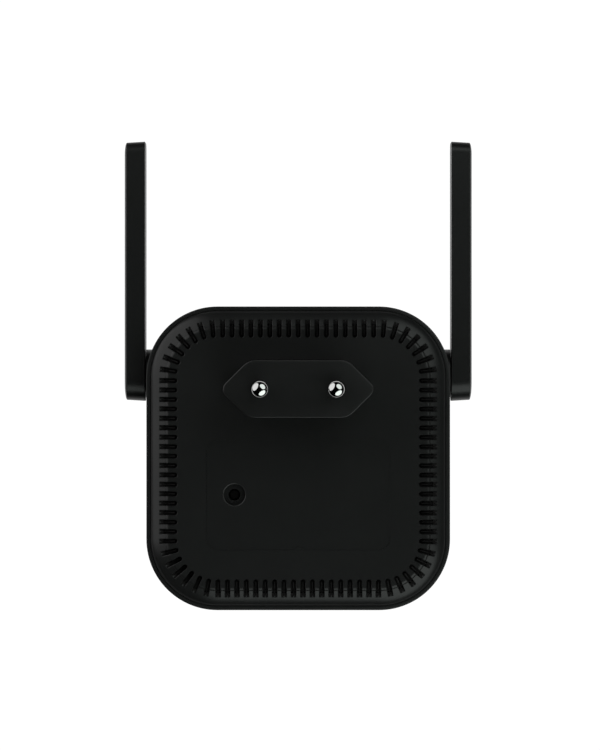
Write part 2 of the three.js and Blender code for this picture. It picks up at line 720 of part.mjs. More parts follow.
function addPowerParts() {
  const face = POWER_BOARD_Y - POWER_BOARD_T - PCB_GAP; // the components hang from the front face
  piece("fuse", lyingCan(2, 8.4, -24, face - 2.1, 10), "ceramicWhite");
  piece("bridge_rectifier", box(-12, -5.6, face - 2.6, face, 7, 11), "chip");
  piece("suppression_capacitor", box(-2.5, 10.5, face - 9.5, face, 8, 13.5), "boxYellow");
  piece("bulk_capacitor_1", lyingCan(4, 12.5, -23.5, face - 4.1, -1), "sleeveBlue");
  piece("bulk_capacitor_2", lyingCan(4, 12.5, -23.5, face - 4.1, -9.8), "sleeveBlue");
  piece("output_capacitor", lyingCan(3.15, 8, 15, face - 3.3, -15), "sleeveBlue");
  piece("safety_capacitor", lathedY([
    [0, face], [3, face], [3.6, face - 0.6], [3.6, face - 2.2], [3, face - 2.8], [0, face - 2.8],
  ], 18, 6, 14), "ceramicBlue");

  addTransformer(2, face - 4.9, -5.2);

  const headerTop = face;
  const headerBottom = MAIN_BOARD_Y + PCB_GAP;
  piece("board_header", box(-6, 6, headerBottom, headerTop, -18.6, -16.2), "chip");
}

// An E-core with two windows along Y, and the winding round its middle leg, which runs along Z.
function addTransformer(cx, cy, cz) {
  const [legHalf, windowOut, coreHalfX] = [2.2, 5.6, 8];
  const [coreHalfY, coreHalfZ, windowHalfZ] = [2.5, 6.5, 4.4];
  const windows = [-1, 1].map((side) => box(
    cx + side * legHalf, cx + side * windowOut, cy - 5, cy + 5, cz - windowHalfZ, cz + windowHalfZ));
  const block = box(
    cx - coreHalfX, cx + coreHalfX, cy - coreHalfY, cy + coreHalfY, cz - coreHalfZ, cz + coreHalfZ);
  piece("transformer_core", carve(block, [], windows), "ferrite");
  const gap = 0.3;
  const wound = new THREE.ExtrudeGeometry(roundedShape(2 * (windowOut - gap), 9.2, 1.5), {
    depth: 2 * (windowHalfZ - gap), bevelEnabled: false, curveSegments: 3,
  }).translate(cx, cy, cz - windowHalfZ + gap);
  const leg = box(
    cx - legHalf - gap, cx + legHalf + gap, cy - coreHalfY - gap, cy + coreHalfY + gap, cz - 8, cz + 8);
  piece("transformer_winding", carve(wound, [], [leg]), "tape");
}

function addMainParts() {
  const face = MAIN_BOARD_Y + PCB_GAP;
  const can = carve(box(-13, 9, face, face + 2.4, -42, -22), [], [
    box(-12.7, 8.7, face - 1, face + 2.1, -41.7, -22.3),
    rodY(0.6, face, face + 3, -9, -38, 10),
    rodY(0.6, face, face + 3, 5, -38, 10),
    rodY(0.6, face, face + 3, -9, -26, 10),
    rodY(0.6, face, face + 3, 5, -26, 10),
  ]);
  piece("radio_shield_can", can, "tin");
  piece("radio_chip", box(-8, 4, face, face + 1, -38, -26), "chip");
  piece("thermal_pad", box(-12, 8, face + 2.5, face + 3.4, -41, -23), "pad");
  const fins = [];
  for (let x = -13.4; x < 9; x += 3.2) fins.push(box(x, x + 1, face + 4.4, face + 9, -42, -22));
  piece("heat_spreader", carve(box(-14, 10, face + 3.5, face + 4.6, -42, -22), fins, []), "aluminium");
  piece("flash_chip", box(-22, -16.5, face, face + 1.4, -20, -14), "chip");
  piece("status_light", box(-1, 1, MAIN_BOARD_Y - MAIN_BOARD_T - PCB_GAP, MAIN_BOARD_Y - MAIN_BOARD_T - 0.9,
    LIGHT_Z - 0.6, LIGHT_Z + 0.6), "lens");
  const window = roundedShape(LIGHT_WIDTH, LIGHT_HEIGHT, LIGHT_HEIGHT / 2, 0, LIGHT_Z);
  const pipe = carve(slabY(window, FRONT_Y, FRONT_INNER_Y + 0.5),
    [box(-4.2, 4.2, FRONT_INNER_Y + 0.2, FRONT_INNER_Y + 1.2, LIGHT_Z - 1.6, LIGHT_Z + 1.6)], []);
  piece("light_pipe", pipe, "lens");

  const sheet = slabY(roundedShape(56, 30, 2, 0, -4), MAIN_BOARD_Y + 2.3, MAIN_BOARD_Y + 2.6, 3);
  piece("insulation_sheet", carve(sheet, [], [
    box(-7, 7, MAIN_BOARD_Y, MAIN_BOARD_Y + 4, -20, -15.4),
    box(20, 32, MAIN_BOARD_Y, MAIN_BOARD_Y + 4, -20, 12),
    box(-32, -20, MAIN_BOARD_Y, MAIN_BOARD_Y + 4, -20, 12),
  ]), "paper");
}

function addReset() {
  const body = carve(
    box(RESET_X - 3, RESET_X + 3, MAIN_BOARD_Y + PCB_GAP, RESET_SWITCH_TOP_Y, RESET_Z - 3, RESET_Z + 3), [],
    [rodY(1.7, RESET_SOCKET_Y, RESET_SWITCH_TOP_Y + 1, RESET_X, RESET_Z, 14)]);
  piece("reset_switch_body", body, "chip");
  const foot = RESET_SOCKET_Y + RESET_TRAVEL + 0.2;
  const stem = [
    [0, foot], [1.4, foot], [1.4, RESET_SWITCH_TOP_Y + 1], [2.3, RESET_SWITCH_TOP_Y + 1.6],
    [2.3, RESET_GUIDE_END_Y - 0.2], [1.3, RESET_GUIDE_END_Y - 0.2], [1.3, RESET_TOP_Y - 0.3],
    [1, RESET_TOP_Y], [0, RESET_TOP_Y],
  ];
  piece("reset_stem", lathedY(stem, RESET_X, RESET_Z, 14), "stem");
}

// ---------- antennas ----------

// Rings of the paddle's rounded outline, in Y-Z: profile holds [inset, end draft, x] for the +X side.
function paddleSkin(profile, side) {
  const centreZ = HINGE_Z - PADDLE_BELOW_HINGE + PADDLE_LENGTH / 2;
  const rings = profile.map(([inset, draft, x]) => {
    const [topR, footR] = [PADDLE_TOP_R, PADDLE_FOOT_R].map((r) => Math.max(r - inset, 0.4));
    const halfY = PADDLE_DEPTH / 2 - inset;
    const halfZ = PADDLE_LENGTH / 2 - inset - draft;
    return roundedRing(halfY, halfZ, topR, HINGE_Y, centreZ, 5, footR).map(([y, z]) => [side * x, y, z]);
  });
  return skin(rings);
}

function antennaShell(side) {
  const lidSeat = PADDLE_INNER_X + LID_THICKNESS + 0.1;
  return carve(
    paddleSkin([
      [0, 0, PADDLE_INNER_X],
      [0, 0.2, PADDLE_OUTER_X - 1],
      [0.25, 0.25, PADDLE_OUTER_X - 0.55],
      [1.1, 0.25, PADDLE_OUTER_X - 0.25],
      [3.2, 0.25, PADDLE_OUTER_X],
    ], side), [], [
      paddleSkin([[LID_RIM, 0, PADDLE_INNER_X - 1], [LID_RIM, 0, lidSeat]], side),
      paddleSkin([[LID_RIM + 0.7, 0, lidSeat - 0.5], [LID_RIM + 0.7, 0.2, PADDLE_OUTER_X - 1.2]], side),
    ]);
}

function antennaLid(side) {
  const plate = paddleSkin([
    [LID_RIM + 0.15, 0, PADDLE_INNER_X],
    [LID_RIM + 0.15, 0, PADDLE_INNER_X + LID_THICKNESS],
  ], side);
  const barrel = lathedX([
    [0, side * BARREL_END_X], [BARREL_R - 0.3, side * BARREL_END_X],
    [BARREL_R, side * (BARREL_END_X + 0.3)], [BARREL_R, side * CLIP_GROOVE_X[0]],
    [BARREL_R - 0.6, side * CLIP_GROOVE_X[0]], [BARREL_R - 0.6, side * CLIP_GROOVE_X[1]],
    [BARREL_R, side * CLIP_GROOVE_X[1]], [BARREL_R, side * HUB_X],
    [HUB_R, side * HUB_X], [HUB_R, side * (PADDLE_INNER_X + 0.3)], [0, side * (PADDLE_INNER_X + 0.3)],
  ], HINGE_Y, HINGE_Z, 24);
  const bore = rodX(BARREL_BORE_R, side * (BARREL_END_X - 1), side * PADDLE_OUTER_X, HINGE_Y, HINGE_Z, 12);
  return carve(plate, [barrel], [bore]);
}

// A C-shaped clip in the barrel's groove.
function retainingClip(side) {
  const [start, end] = [side * (CLIP_GROOVE_X[0] + 0.1), side * (CLIP_GROOVE_X[1] - 0.1)];
  const ring = ringX(BARREL_R - 0.5, 4.7, start, end, HINGE_Y, HINGE_Z, 18);
  return carve(ring, [], [box(side * 30, side * 33, HINGE_Y - 8, HINGE_Y, HINGE_Z - 1.9, HINGE_Z + 1.9)]);
}

function springWasher(side) {
  const profile = [[3.25, 32.6], [5, 32.25], [5, 32.55], [3.25, 32.9], [3.25, 32.6]];
  return lathedX(profile.map(([r, x]) => [r, side * x]), HINGE_Y, HINGE_Z, 16);
}

function antennaBoard(side) {
  const x = PADDLE_INNER_X + LID_THICKNESS + 0.35;
  const outline = roundedShape(8.6, 44, 1, HINGE_Y, HINGE_Z + 30);
  return slabX(outline, side * x, side * (x + 0.8), 3);
}

// The feed runs from the antenna board down to the hinge axis and into the barrel.
function antennaFeed(side) {
  const x = PADDLE_INNER_X + LID_THICKNESS + 1.1;
  return cable([
    [side * 36, HINGE_Y, HINGE_Z],
    [side * 37, HINGE_Y, HINGE_Z],
    [side * (x - 1.35), HINGE_Y, HINGE_Z + 0.15],
    [side * (x - 0.1), HINGE_Y, HINGE_Z + 1.6],
    [side * x, HINGE_Y, HINGE_Z + 4.5],
    [side * x, HINGE_Y, HINGE_Z + 7.5],
  ], 0.6, 12);
}

function coax(side) {
  return cable([
    [side * 25, MAIN_BOARD_Y + 1.4, 0],
    [side * 25.3, MAIN_BOARD_Y + 2.6, 0.4],
    [side * 25.6, MAIN_BOARD_Y + 4.6, 2],
    [side * 27.4, HINGE_Y - 1.2, HINGE_Z - 0.3],
    [side * 29.8, HINGE_Y, HINGE_Z],
    [side * 32, HINGE_Y, HINGE_Z],
    [side * 35.6, HINGE_Y, HINGE_Z],
  ], 0.6, 16);
}

function addAntenna(side) {
  const name = side > 0 ? "right" : "left";
  piece("antenna_shell_" + name, antennaShell(side), "caseBlack");
  piece("antenna_lid_" + name, antennaLid(side), "caseBlack");
  piece("antenna_board_" + name, antennaBoard(side), "board");
  piece("antenna_feed_" + name, antennaFeed(side), "jacket");
  piece("retaining_clip_" + name, retainingClip(side), "steel");
  piece("spring_washer_" + name, springWasher(side), "steel");
  piece("coax_cable_" + name, coax(side), "jacket");
  piece("antenna_connector_" + name,
    rodY(1.3, MAIN_BOARD_Y + PCB_GAP, MAIN_BOARD_Y + 1.2, side * 25, 0, 12), "brass");
}

// ---------- assembly ----------

piece("front_cover", frontCover(), "caseBlack");
piece("rear_cover", rearCover(), "coverBlack");
piece("vent_baffle", ventBaffle(), "baffleBlack");
piece("plug_housing", plugHousing(), "plugBlack");
piece("rating_label", ratingLabel(), "labelBlack");
piece("power_board", powerBoard(), "board");
piece("main_board", mainBoard(), "board");
addScrews();
addPowerParts();
addMainParts();
addReset();
for (const side of [-1, 1]) {
  mainsPin(side);
  piece("pin_contact_" + (side > 0 ? "right" : "left"), pinContact(side), "brass");
  addAntenna(side);
}

export default extender;
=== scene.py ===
# The looks of a plug-in Wi-Fi range extender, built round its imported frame. Shapes are worked out in
# millimetres in the frame's own axes and turned into metres when a piece is made.
import json
import math

import bmesh
import bpy
from mathutils import Matrix, Vector
from mathutils.geometry import tessellate_polygon


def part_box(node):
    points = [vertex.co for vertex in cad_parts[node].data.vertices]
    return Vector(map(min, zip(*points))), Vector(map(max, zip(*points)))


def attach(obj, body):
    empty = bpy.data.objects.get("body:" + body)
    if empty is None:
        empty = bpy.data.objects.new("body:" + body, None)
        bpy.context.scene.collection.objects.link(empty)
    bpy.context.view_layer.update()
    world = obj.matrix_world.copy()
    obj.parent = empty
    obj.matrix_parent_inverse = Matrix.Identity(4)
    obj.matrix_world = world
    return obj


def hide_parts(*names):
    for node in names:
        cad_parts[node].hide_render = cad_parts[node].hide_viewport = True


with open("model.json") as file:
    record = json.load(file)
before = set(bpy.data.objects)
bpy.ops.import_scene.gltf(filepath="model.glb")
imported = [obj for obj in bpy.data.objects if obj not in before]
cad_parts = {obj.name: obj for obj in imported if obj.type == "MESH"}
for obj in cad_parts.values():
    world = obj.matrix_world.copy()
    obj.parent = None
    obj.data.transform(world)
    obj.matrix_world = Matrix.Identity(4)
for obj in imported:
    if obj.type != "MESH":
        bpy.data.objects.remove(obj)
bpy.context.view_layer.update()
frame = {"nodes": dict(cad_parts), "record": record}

MM = 0.001
SIDES = {"right": 1, "left": -1}


def box_mm(node):
    """Lowest and highest corner of a frame node, in millimetres."""
    low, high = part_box(node)
    return low / MM, high / MM


# ---------- sizes, from the frame ----------

front_low, front_high = box_mm("front_cover")
rear_high = box_mm("rear_cover")[1]
plug_low = box_mm("plug_housing")[0]
label_low, label_high = box_mm("rating_label")

# an inset is how far a point lies inside the case's outline, seen along Y

HALF = (front_high.z - front_low.z) / 2  # half the case's width and height
CORNER = 17.3
CASE_Z = (front_low.z + front_high.z) / 2
FRONT_Y = front_low.y
RIM_Y = front_high.y
PANEL_Y = rear_high.y
WALL = 2
RIM_WIDTH = 1
RIM_OUTER_EDGE = (0.18, RIM_Y - 0.09)  # inset and height where the rim's outer rounding ends
SHELF_Y = RIM_Y - 1.6
EDGE_INSET = HALF - rear_high.x  # where the rear cover's edge starts
SKIRT_INSET = 2.3
SKIRT_INSIDE = 3.5
SKIRT_END_Y = -25
TROUGH_Y = PANEL_Y - 1.5  # underside of the cover where the slots go through it
UNDERSIDE_Y = PANEL_Y - 2
UNDERSIDE_INSET = 9.6
CREASE = (4.8, PANEL_Y - 0.5)  # inset and height of the foot of the step round the panel
STEP_INSET = 5.75

POST_X = 25
POST_Z = -15
POST_R = 2.4
POST_BORE_R = 1
POST_END_Y = -26.9
POST_BORE_END_Y = -22

SLOT_COUNT = 97
SLOT_PATH_INSET = 7
SLOT_OUTER_INSET = 3.2
SLOT_INNER_INSET = 7.62
SLOT_HALF_WIDTH = 0.58
SLOT_CHAMFER = 0.13
SLOT_FLOOR_END = 4.3  # the cover closes the slots' outer ends from below as far as this inset
RIB_HALF_WIDTH = 0.17
RIB_EDGE = 0.06  # how far the rib's long edges are cut back
RIB_END_INSET = 7.05
RIB_END_Y = PANEL_Y - 0.65
RIB_SAG = 1.45  # how far the middle of a rib's curve is pulled below its inner end
SLOT_ARC_STEPS = 8
CELL_END_INSET = 8.15

WINDOW_HALF_X = 3.06
WINDOW_HALF_Z = 0.86

PLUG_TIP_R = 2.1
PLUG_SHOULDER_R = 4.5
PLUG_HALF_WIDTH = 18
PLUG_HALF_HEIGHT = 13.85 / 2
PLUG_GAP = 0.1

RESET_X = 15.5
RESET_Z = -25.7
RESET_RECESS_R = 2.65
RESET_RECESS_DEPTH = 1.5
RESET_LIP = 0.15  # how wide the recess's rounded lip is
RESET_WALL = 0.2  # thickness of the wall between the recess and the label
RESET_HOLE_R = 1.42
RESET_GUIDE_R = 2.6
RESET_GUIDE_END_Y = -31

LABEL_CORNER = 2.9
LABEL_NOTCH = 0.9
LABEL_RECESS = 0.2
LABEL_GAP = 0.055
LABEL_SINK = 0.03  # how far the label's face lies below the panel
GLUE_GAP = 0.03

HINGE_Y = -35
HINGE_Z = 3.75
BOSS_R = 5.95
BOSS_X = front_high.x
BOSS_INNER_X = 33
BARREL_HOLE_R = 3.1
BARREL_R = 3
BARREL_GROOVE_R = 2.4
BARREL_BORE_R = 1.2
BARREL_END_X = 30.3
HUB_R = 4.33
HUB_X = 37.48
PADDLE_TOP_R = 2.5
PADDLE_FOOT_R = 4.8
PADDLE_RIM = 0.85  # thickness of the wall round the lid
LID_THICKNESS = 1.1


# ---------- mesh building ----------

MERGE_DISTANCE = 2e-6  # in metres, like the next
SLIVER_LENGTH = 1e-7


class Skin:
    """Points in millimetres and the faces between them, gathered into one mesh."""

    def __init__(self):
        self.points = []
        self.faces = []

    def ring(self, points):
        """Adds a row of points, and returns their numbers."""
        start = len(self.points)
        self.points.extend(Vector(p) for p in points)
        return list(range(start, len(self.points)))

    def strip(self, a, b, closed=True):
        """Quads between two rows of the same length, or triangles where the rows share a point."""
        last = len(a) if closed else len(a) - 1
        for i in range(last):
            j = (i + 1) % len(a)
            corners = tuple(dict.fromkeys((a[i], a[j], b[j], b[i])))
            if len(corners) > 2:
                self.faces.append(corners)

    def loft(self, rings):
        """Joins a run of rings, and returns the first and last rows."""
        rows = [self.ring(points) for points in rings]
        for a, b in zip(rows, rows[1:]):
            self.strip(a, b)
        return rows[0], rows[-1]

    def cap(self, row):
        self.faces.append(tuple(row))

    def fill(self, rows, drop_axis=1):
        """A flat face inside the first row, with the other rows as its holes."""
        kept = [axis for axis in range(3) if axis != drop_axis]
        flat = [[Vector([self.points[i][axis] for axis in kept] + [0]) for i in row] for row in rows]
        order = [i for row in rows for i in row]
        for tri in tessellate_polygon(flat):
            self.faces.append(tuple(order[i] for i in tri))

    def make(self, name, sharp_degrees=32):
        """The finished object: merged, faced outwards and smooth but for its sharp edges."""
        mesh = bpy.data.meshes.new(name)
        mesh.from_pydata([p * MM for p in self.points], [], self.faces)
        work = bmesh.new()
        work.from_mesh(mesh)
        bmesh.ops.remove_doubles(work, verts=work.verts, dist=MERGE_DISTANCE)
        bmesh.ops.dissolve_degenerate(work, edges=work.edges, dist=SLIVER_LENGTH)
        bmesh.ops.recalc_face_normals(work, faces=work.faces)
        work.to_mesh(mesh)
        work.free()
        smooth(mesh, sharp_degrees)
        obj = bpy.data.objects.new(name, mesh)
        bpy.context.scene.collection.objects.link(obj)
        return obj


def smooth(mesh, sharp_degrees):
    """Smooth shading, but for edges that turn more than this."""
    mesh.shade_smooth()
    mesh.set_sharp_from_angle(angle=math.radians(sharp_degrees))


def arc(cu, cv, radius, start, end, steps):
    """Points of an arc in a plane, from start to end degrees."""
    points = []
    for i in range(steps + 1):
        a = math.radians(start + (end - start) * i / steps)
        points.append((cu + radius * math.cos(a), cv + radius * math.sin(a)))
    return points


def rounded(half_u, half_v, corner, cu=0, cv=0, steps=24):
    """A rounded rectangle's points, anticlockwise from the middle of its right side."""
    u, v = half_u - corner, half_v - corner
    points = []
    for quarter, (su, sv) in enumerate([(1, 1), (-1, 1), (-1, -1), (1, -1)]):
        start = 90 * quarter
        points += arc(cu + su * u, cv + sv * v, corner, start, start + 90, steps)
    return points


def filleted(corners, steps=10):
    """An outline with its corners rounded: corners holds (u, v, radius), anticlockwise."""
    points = []
    for i, (u, v, r) in enumerate(corners):
        here = Vector((u, v))
        back = (Vector(corners[i - 1][:2]) - here).normalized()
        on = (Vector(corners[(i + 1) % len(corners)][:2]) - here).normalized()
        half = math.acos(max(-1, min(1, back.dot(on)))) / 2
        centre = here + (back + on).normalized() * (r / math.sin(half))
        a = here + back * (r / math.tan(half)) - centre
        b = here + on * (r / math.tan(half)) - centre
        start = math.degrees(math.atan2(a.y, a.x))
        turn = (math.degrees(math.atan2(b.y, b.x)) - start) % 360
        points += arc(centre.x, centre.y, r, start, start + turn, steps)
    return points


def circle(cu, cv, radius, steps=48):
    """A circle's points, without the first again at the end."""
    return arc(cu, cv, radius, 0, 360 - 360 / steps, steps - 1)


def in_y(points, y):
    """Puts plane points at a height along Y, as X and Z."""
    return [(u, y, v) for u, v in points]


def in_x(points, x):
    """Puts plane points at a place along X, as Y and Z."""
    return [(x, u, v) for u, v in points]


def bend(a, b, c, steps):
    """Points of a quadratic curve from a to c that leaves and arrives towards b."""
    points = []
    for i in range(steps + 1):
        t = i / steps
        points.append(tuple(
            (1 - t) ** 2 * p + 2 * t * (1 - t) * q + t * t * r for p, q, r in zip(a, b, c)))
    return points


def case_ring(inset, y, steps=28):
    """The case's outline, moved inwards by an inset, at a height along Y."""
    half = HALF - inset
    return in_y(rounded(half, half, max(CORNER - inset, 0.5), 0, CASE_Z, steps), y)


def plug_outline(grow=0, steps=10):
    """The plug's hexagon with faces at 45 degrees, grown outwards or, if negative, inwards."""
    tip_r = PLUG_TIP_R + grow
    shoulder_r = PLUG_SHOULDER_R + grow
    sharp = PLUG_HALF_WIDTH + PLUG_TIP_R * (math.sqrt(2) - 1) + grow * math.sqrt(2)
    top = PLUG_HALF_HEIGHT + grow
    shoulder = sharp - top
    return filleted([
        (sharp, 0, tip_r), (shoulder, top, shoulder_r), (-shoulder, top, shoulder_r),
        (-sharp, 0, tip_r), (-shoulder, -top, shoulder_r), (shoulder, -top, shoulder_r),
    ], steps)


def label_outline(grow=0, steps=8):
    """The label's rounded rectangle, with a small notch in the middle of its lower edge."""
    w = (label_high.x - label_low.x) / 2 + grow
    low, high = label_low.z - grow, label_high.z + grow
    r = LABEL_CORNER
    return (
        arc(w - r, high - r, r, 0, 90, steps)
        + arc(-w + r, high - r, r, 90, 180, steps)
        + arc(-w + r, low + r, r, 180, 270, steps)
        + arc(0, low, LABEL_NOTCH - grow, 177, 3, steps)
        + arc(w - r, low + r, r, 270, 360, steps)
    )


# ---------- the rear cover ----------

def slot_place(position):
    """Point on the slot path, and its outward direction, at a number of slots from the top centre."""
    half = HALF - SLOT_PATH_INSET
    corner = CORNER - SLOT_PATH_INSET
    straight = half - corner
    quarter = 2 * straight + math.pi / 2 * corner
    s = position * 4 * quarter / SLOT_COUNT + straight
    side, s = divmod(s, quarter)
    turn = max(s - 2 * straight, 0) / corner
    if s < 2 * straight:
        point = Vector((s - straight, half))
    else:
        point = Vector((straight + corner * math.sin(turn), straight + corner * math.cos(turn)))
    out = Vector((math.sin(turn), math.cos(turn)))
    spin = Matrix.Rotation(-side * math.pi / 2, 2)
    return spin @ point, spin @ out


def inset_of(point):
    """How far a point in the case's plane, about its centre, lies inside the outline."""
    straight = HALF - CORNER
    u, v = abs(point.x) - straight, abs(point.y) - straight
    if u > 0 and v > 0:
        return CORNER - math.hypot(u, v)
    return CORNER - max(u, v)


# inset and height pairs: the cover's edge, the convex slope, then the fine step up to the panel
EDGE_STEPS = 4
EDGE_FOOT = (EDGE_INSET, RIM_Y - 0.08)
EDGE_PULL = (EDGE_INSET + 0.03, RIM_Y + 0.05)
SLOPE_START = (EDGE_INSET + 0.1, RIM_Y + 0.3)
SLOPE_PULL = (1.5, -18.95)
SLOPE = bend(EDGE_FOOT, EDGE_PULL, SLOPE_START, EDGE_STEPS) + bend(SLOPE_START, SLOPE_PULL, CREASE, 22)[1:]
STEP = bend(CREASE, (CREASE[0] + 0.25, PANEL_Y), (STEP_INSET, PANEL_Y), 8)
SURFACE = SLOPE + STEP[1:]


def surface_y(inset):
    """Height of the rear cover's outer surface at an inset from the case's outline."""
    if inset >= STEP_INSET:
        return PANEL_Y
    for (d0, y0), (d1, y1) in zip(SURFACE, SURFACE[1:]):
        if inset <= d1:
            return y0 + (y1 - y0) * max(inset - d0, 0) / (d1 - d0)
    return PANEL_Y


SLOPE_AT_SLOT = surface_y(SLOT_OUTER_INSET)


def local(place, inset, lateral):
    """A point at an inset along a place's outward line, and aside from it."""
    point, out = place
    aside = Vector((out.y, -out.x))
    return point + out * (SLOT_PATH_INSET - inset) + aside * lateral


def rib_y(inset):
    """Height of the rib's top at an inset: it sags from the slope's surface and rises to its end."""
    t = (inset - SLOT_OUTER_INSET) / (RIB_END_INSET - SLOT_OUTER_INSET)
    t = min(t, 1)
    pull = RIB_END_Y - RIB_SAG
    return (1 - t) ** 2 * SLOPE_AT_SLOT + 2 * t * (1 - t) * pull + t * t * RIB_END_Y


def rear_cover():
    """The rear cover in 97 cells, each holding one ribbed slot, round a flat panel."""
    skin = Skin()
    slots = [slot_place(i) for i in range(SLOT_COUNT)]
    walls = [slot_place(i - 0.5) for i in range(SLOT_COUNT)]
    w, u = SLOT_HALF_WIDTH, RIB_HALF_WIDTH

    def at(p, y):
        """A point of the case's plane, put at a height along Y."""
        return (p.x, y, p.y + CASE_Z)

    def plain(inset, y=None):
        """A row right round: the line between cells, and the lines of the slot's sides and its rib."""
        row = []
        for slot, wall in zip(slots, walls):
            for place, lateral in ((wall, 0), (slot, -w), (slot, -u), (slot, 0), (slot, u), (slot, w)):
                p = local(place, inset, lateral)
                row.append(at(p, surface_y(inset_of(p)) if y is None else y))
        return skin.ring(row)

    cut = 0.3
    shelf = SHELF_Y + 0.1
    below = [
        (SLOT_FLOOR_END, TROUGH_Y), (SKIRT_INSIDE, RIM_Y + cut), (SKIRT_INSIDE, SKIRT_END_Y + cut),
        (SKIRT_INSIDE - cut, SKIRT_END_Y), (SKIRT_INSET + cut, SKIRT_END_Y),
        (SKIRT_INSET, SKIRT_END_Y + cut), (SKIRT_INSET, shelf), (EDGE_INSET, shelf),
    ]
    lower, upper = SLOPE[:EDGE_STEPS + 1], SLOPE[EDGE_STEPS + 1:]
    rows = [plain(inset, y) for inset, y in below + lower]
    rows += [plain(inset) for inset, _ in upper if inset < SLOT_OUTER_INSET - 0.05]
    rows.append(plain(SLOT_OUTER_INSET))
    for a, b in zip(rows, rows[1:]):
        skin.strip(a, b)
    under_row, start_row = rows[0], rows[-1]

    # the insets where the slots' sides and ribs have points
    arc_inset = SLOT_INNER_INSET - w
    insets = [3.35, 3.6, 3.85, 4.1, SLOT_FLOOR_END, 4.5]
    insets += [inset for inset, _ in STEP] + [6, 6.45, arc_inset]
    opening = insets.index(SLOT_FLOOR_END)

    def surface_point(place, inset, lateral):
        """The point of the outer surface at an inset and aside of a place."""
        p = local(place, inset, lateral)
        return at(p, surface_y(inset_of(p)))

    outer_ring, under_ring = [], []
    edge_rows = {}

    def edge_row(i):
        """The line between two cells, on the surface and on the underside, shared by both cells."""
        i %= SLOT_COUNT
        if i not in edge_rows:
            wall = walls[i]
            tails = (SLOT_INNER_INSET, CELL_END_INSET)
            top = [start_row[6 * i]] + skin.ring([surface_point(wall, d, 0) for d in insets])
            tail = skin.ring([surface_point(wall, d, 0) for d in tails])
            low = [under_row[6 * i]]
            low += skin.ring([at(local(wall, d, 0), TROUGH_Y) for d in insets[opening + 1:]])
            low_tail = skin.ring([at(local(wall, d, 0), TROUGH_Y) for d in tails])
            edge_rows[i] = (top, tail, low, low_tail)
        return edge_rows[i]

    def add_rib(i, slot, floor_lines):
        """The rib in a slot: a tongue from the slope's surface, with a gap at its sides and its end."""
        soft = [(RIB_END_INSET - 0.12, 1), (RIB_END_INSET - 0.04, 0.8), (RIB_END_INSET, 0.45)]
        stations = [(d, 1) for d in insets[:-1]] + soft
        lines = [[start_row[6 * i + column]] for column in (2, 2, 3, 4, 4)]
        drops = (RIB_EDGE, 0.01, 0, 0.01, RIB_EDGE)
        for d, narrow in stations:
            half = u * narrow
            laterals = (-half, -half + RIB_EDGE, 0, half - RIB_EDGE, half)
            for line, lateral, drop in zip(lines, laterals, drops):
                line += skin.ring([at(local(slot, d, lateral), rib_y(d) - drop)])
        for a, b in zip(lines, lines[1:]):
            skin.strip(a, b, closed=False)
        feet = []
        for side, top_line in ((-1, lines[0]), (1, lines[-1])):
            places = [(SLOT_OUTER_INSET, 1), *stations]
            foot = skin.ring([at(local(slot, d, side * u * narrow), TROUGH_Y) for d, narrow in places])
            skin.strip(top_line, foot, closed=False)
            skin.strip(foot[:opening + 2], floor_lines[side][:opening + 2], closed=False)
            feet.append(foot[opening + 1:])
        middle = skin.ring([at(local(slot, d, 0), TROUGH_Y) for d, _ in stations[opening:]])
        skin.strip(feet[0], middle, closed=False)
        skin.strip(middle, feet[1], closed=False)
        skin.cap([feet[0][-1], *(line[-1] for line in lines), feet[1][-1], middle[-1]])

    for i, slot in enumerate(slots):
        top_a, tail_a, low_a, low_tail_a = edge_row(i)
        top_b, tail_b, low_b, low_tail_b = edge_row(i + 1)
        sides, floor_lines = {}, {}
        for side in (-1, 1):
            start = [start_row[6 * i + (1 if side < 0 else 5)]]
            chamfer, wall_top, wall_low = [], [], []
            for d in insets:
                p = local(slot, d, side * w)
                chamfer.append(surface_point(slot, d, side * (w + SLOT_CHAMFER)))
                wall_top.append(at(p, surface_y(inset_of(p)) - SLOT_CHAMFER))
                wall_low.append(at(p, TROUGH_Y))
            foot = skin.ring([at(local(slot, SLOT_OUTER_INSET, side * w), TROUGH_Y)])
            chamfer_line = start + skin.ring(chamfer)
            top_line = start + skin.ring(wall_top)
            floor_lines[side] = foot + skin.ring(wall_low)
            sides[side] = (chamfer_line, top_line, floor_lines[side])
            # the wall that closes this side's gap at the slot's outer end
            rib_start = start_row[6 * i + (2 if side < 0 else 4)]
            rib_foot = skin.ring([at(local(slot, SLOT_OUTER_INSET, side * u), TROUGH_Y)])[0]
            skin.cap([start[0], rib_start, rib_foot, foot[0]])
        for side, edge in ((-1, top_a), (1, top_b)):
            chamfer, wall_top, wall_low = sides[side]
            skin.strip(edge, chamfer, closed=False)
            skin.strip(chamfer, wall_top, closed=False)
            skin.strip(wall_top, wall_low, closed=False)
        add_rib(i, slot, floor_lines)
        skin.strip(low_a, floor_lines[-1][opening + 1:], closed=False)
        skin.strip(low_b, floor_lines[1][opening + 1:], closed=False)

        def end_arc(radius, y, row_a, row_b):
            """A half circle at the slot's inner end, from one side's row to the other's."""
            line = []
            for j in range(1, SLOT_ARC_STEPS):
                a = math.pi * j / SLOT_ARC_STEPS
                line.append(at(local(slot, arc_inset + radius * math.sin(a), -radius * math.cos(a)), y))
            return [row_a[-1]] + skin.ring(line) + [row_b[-1]]

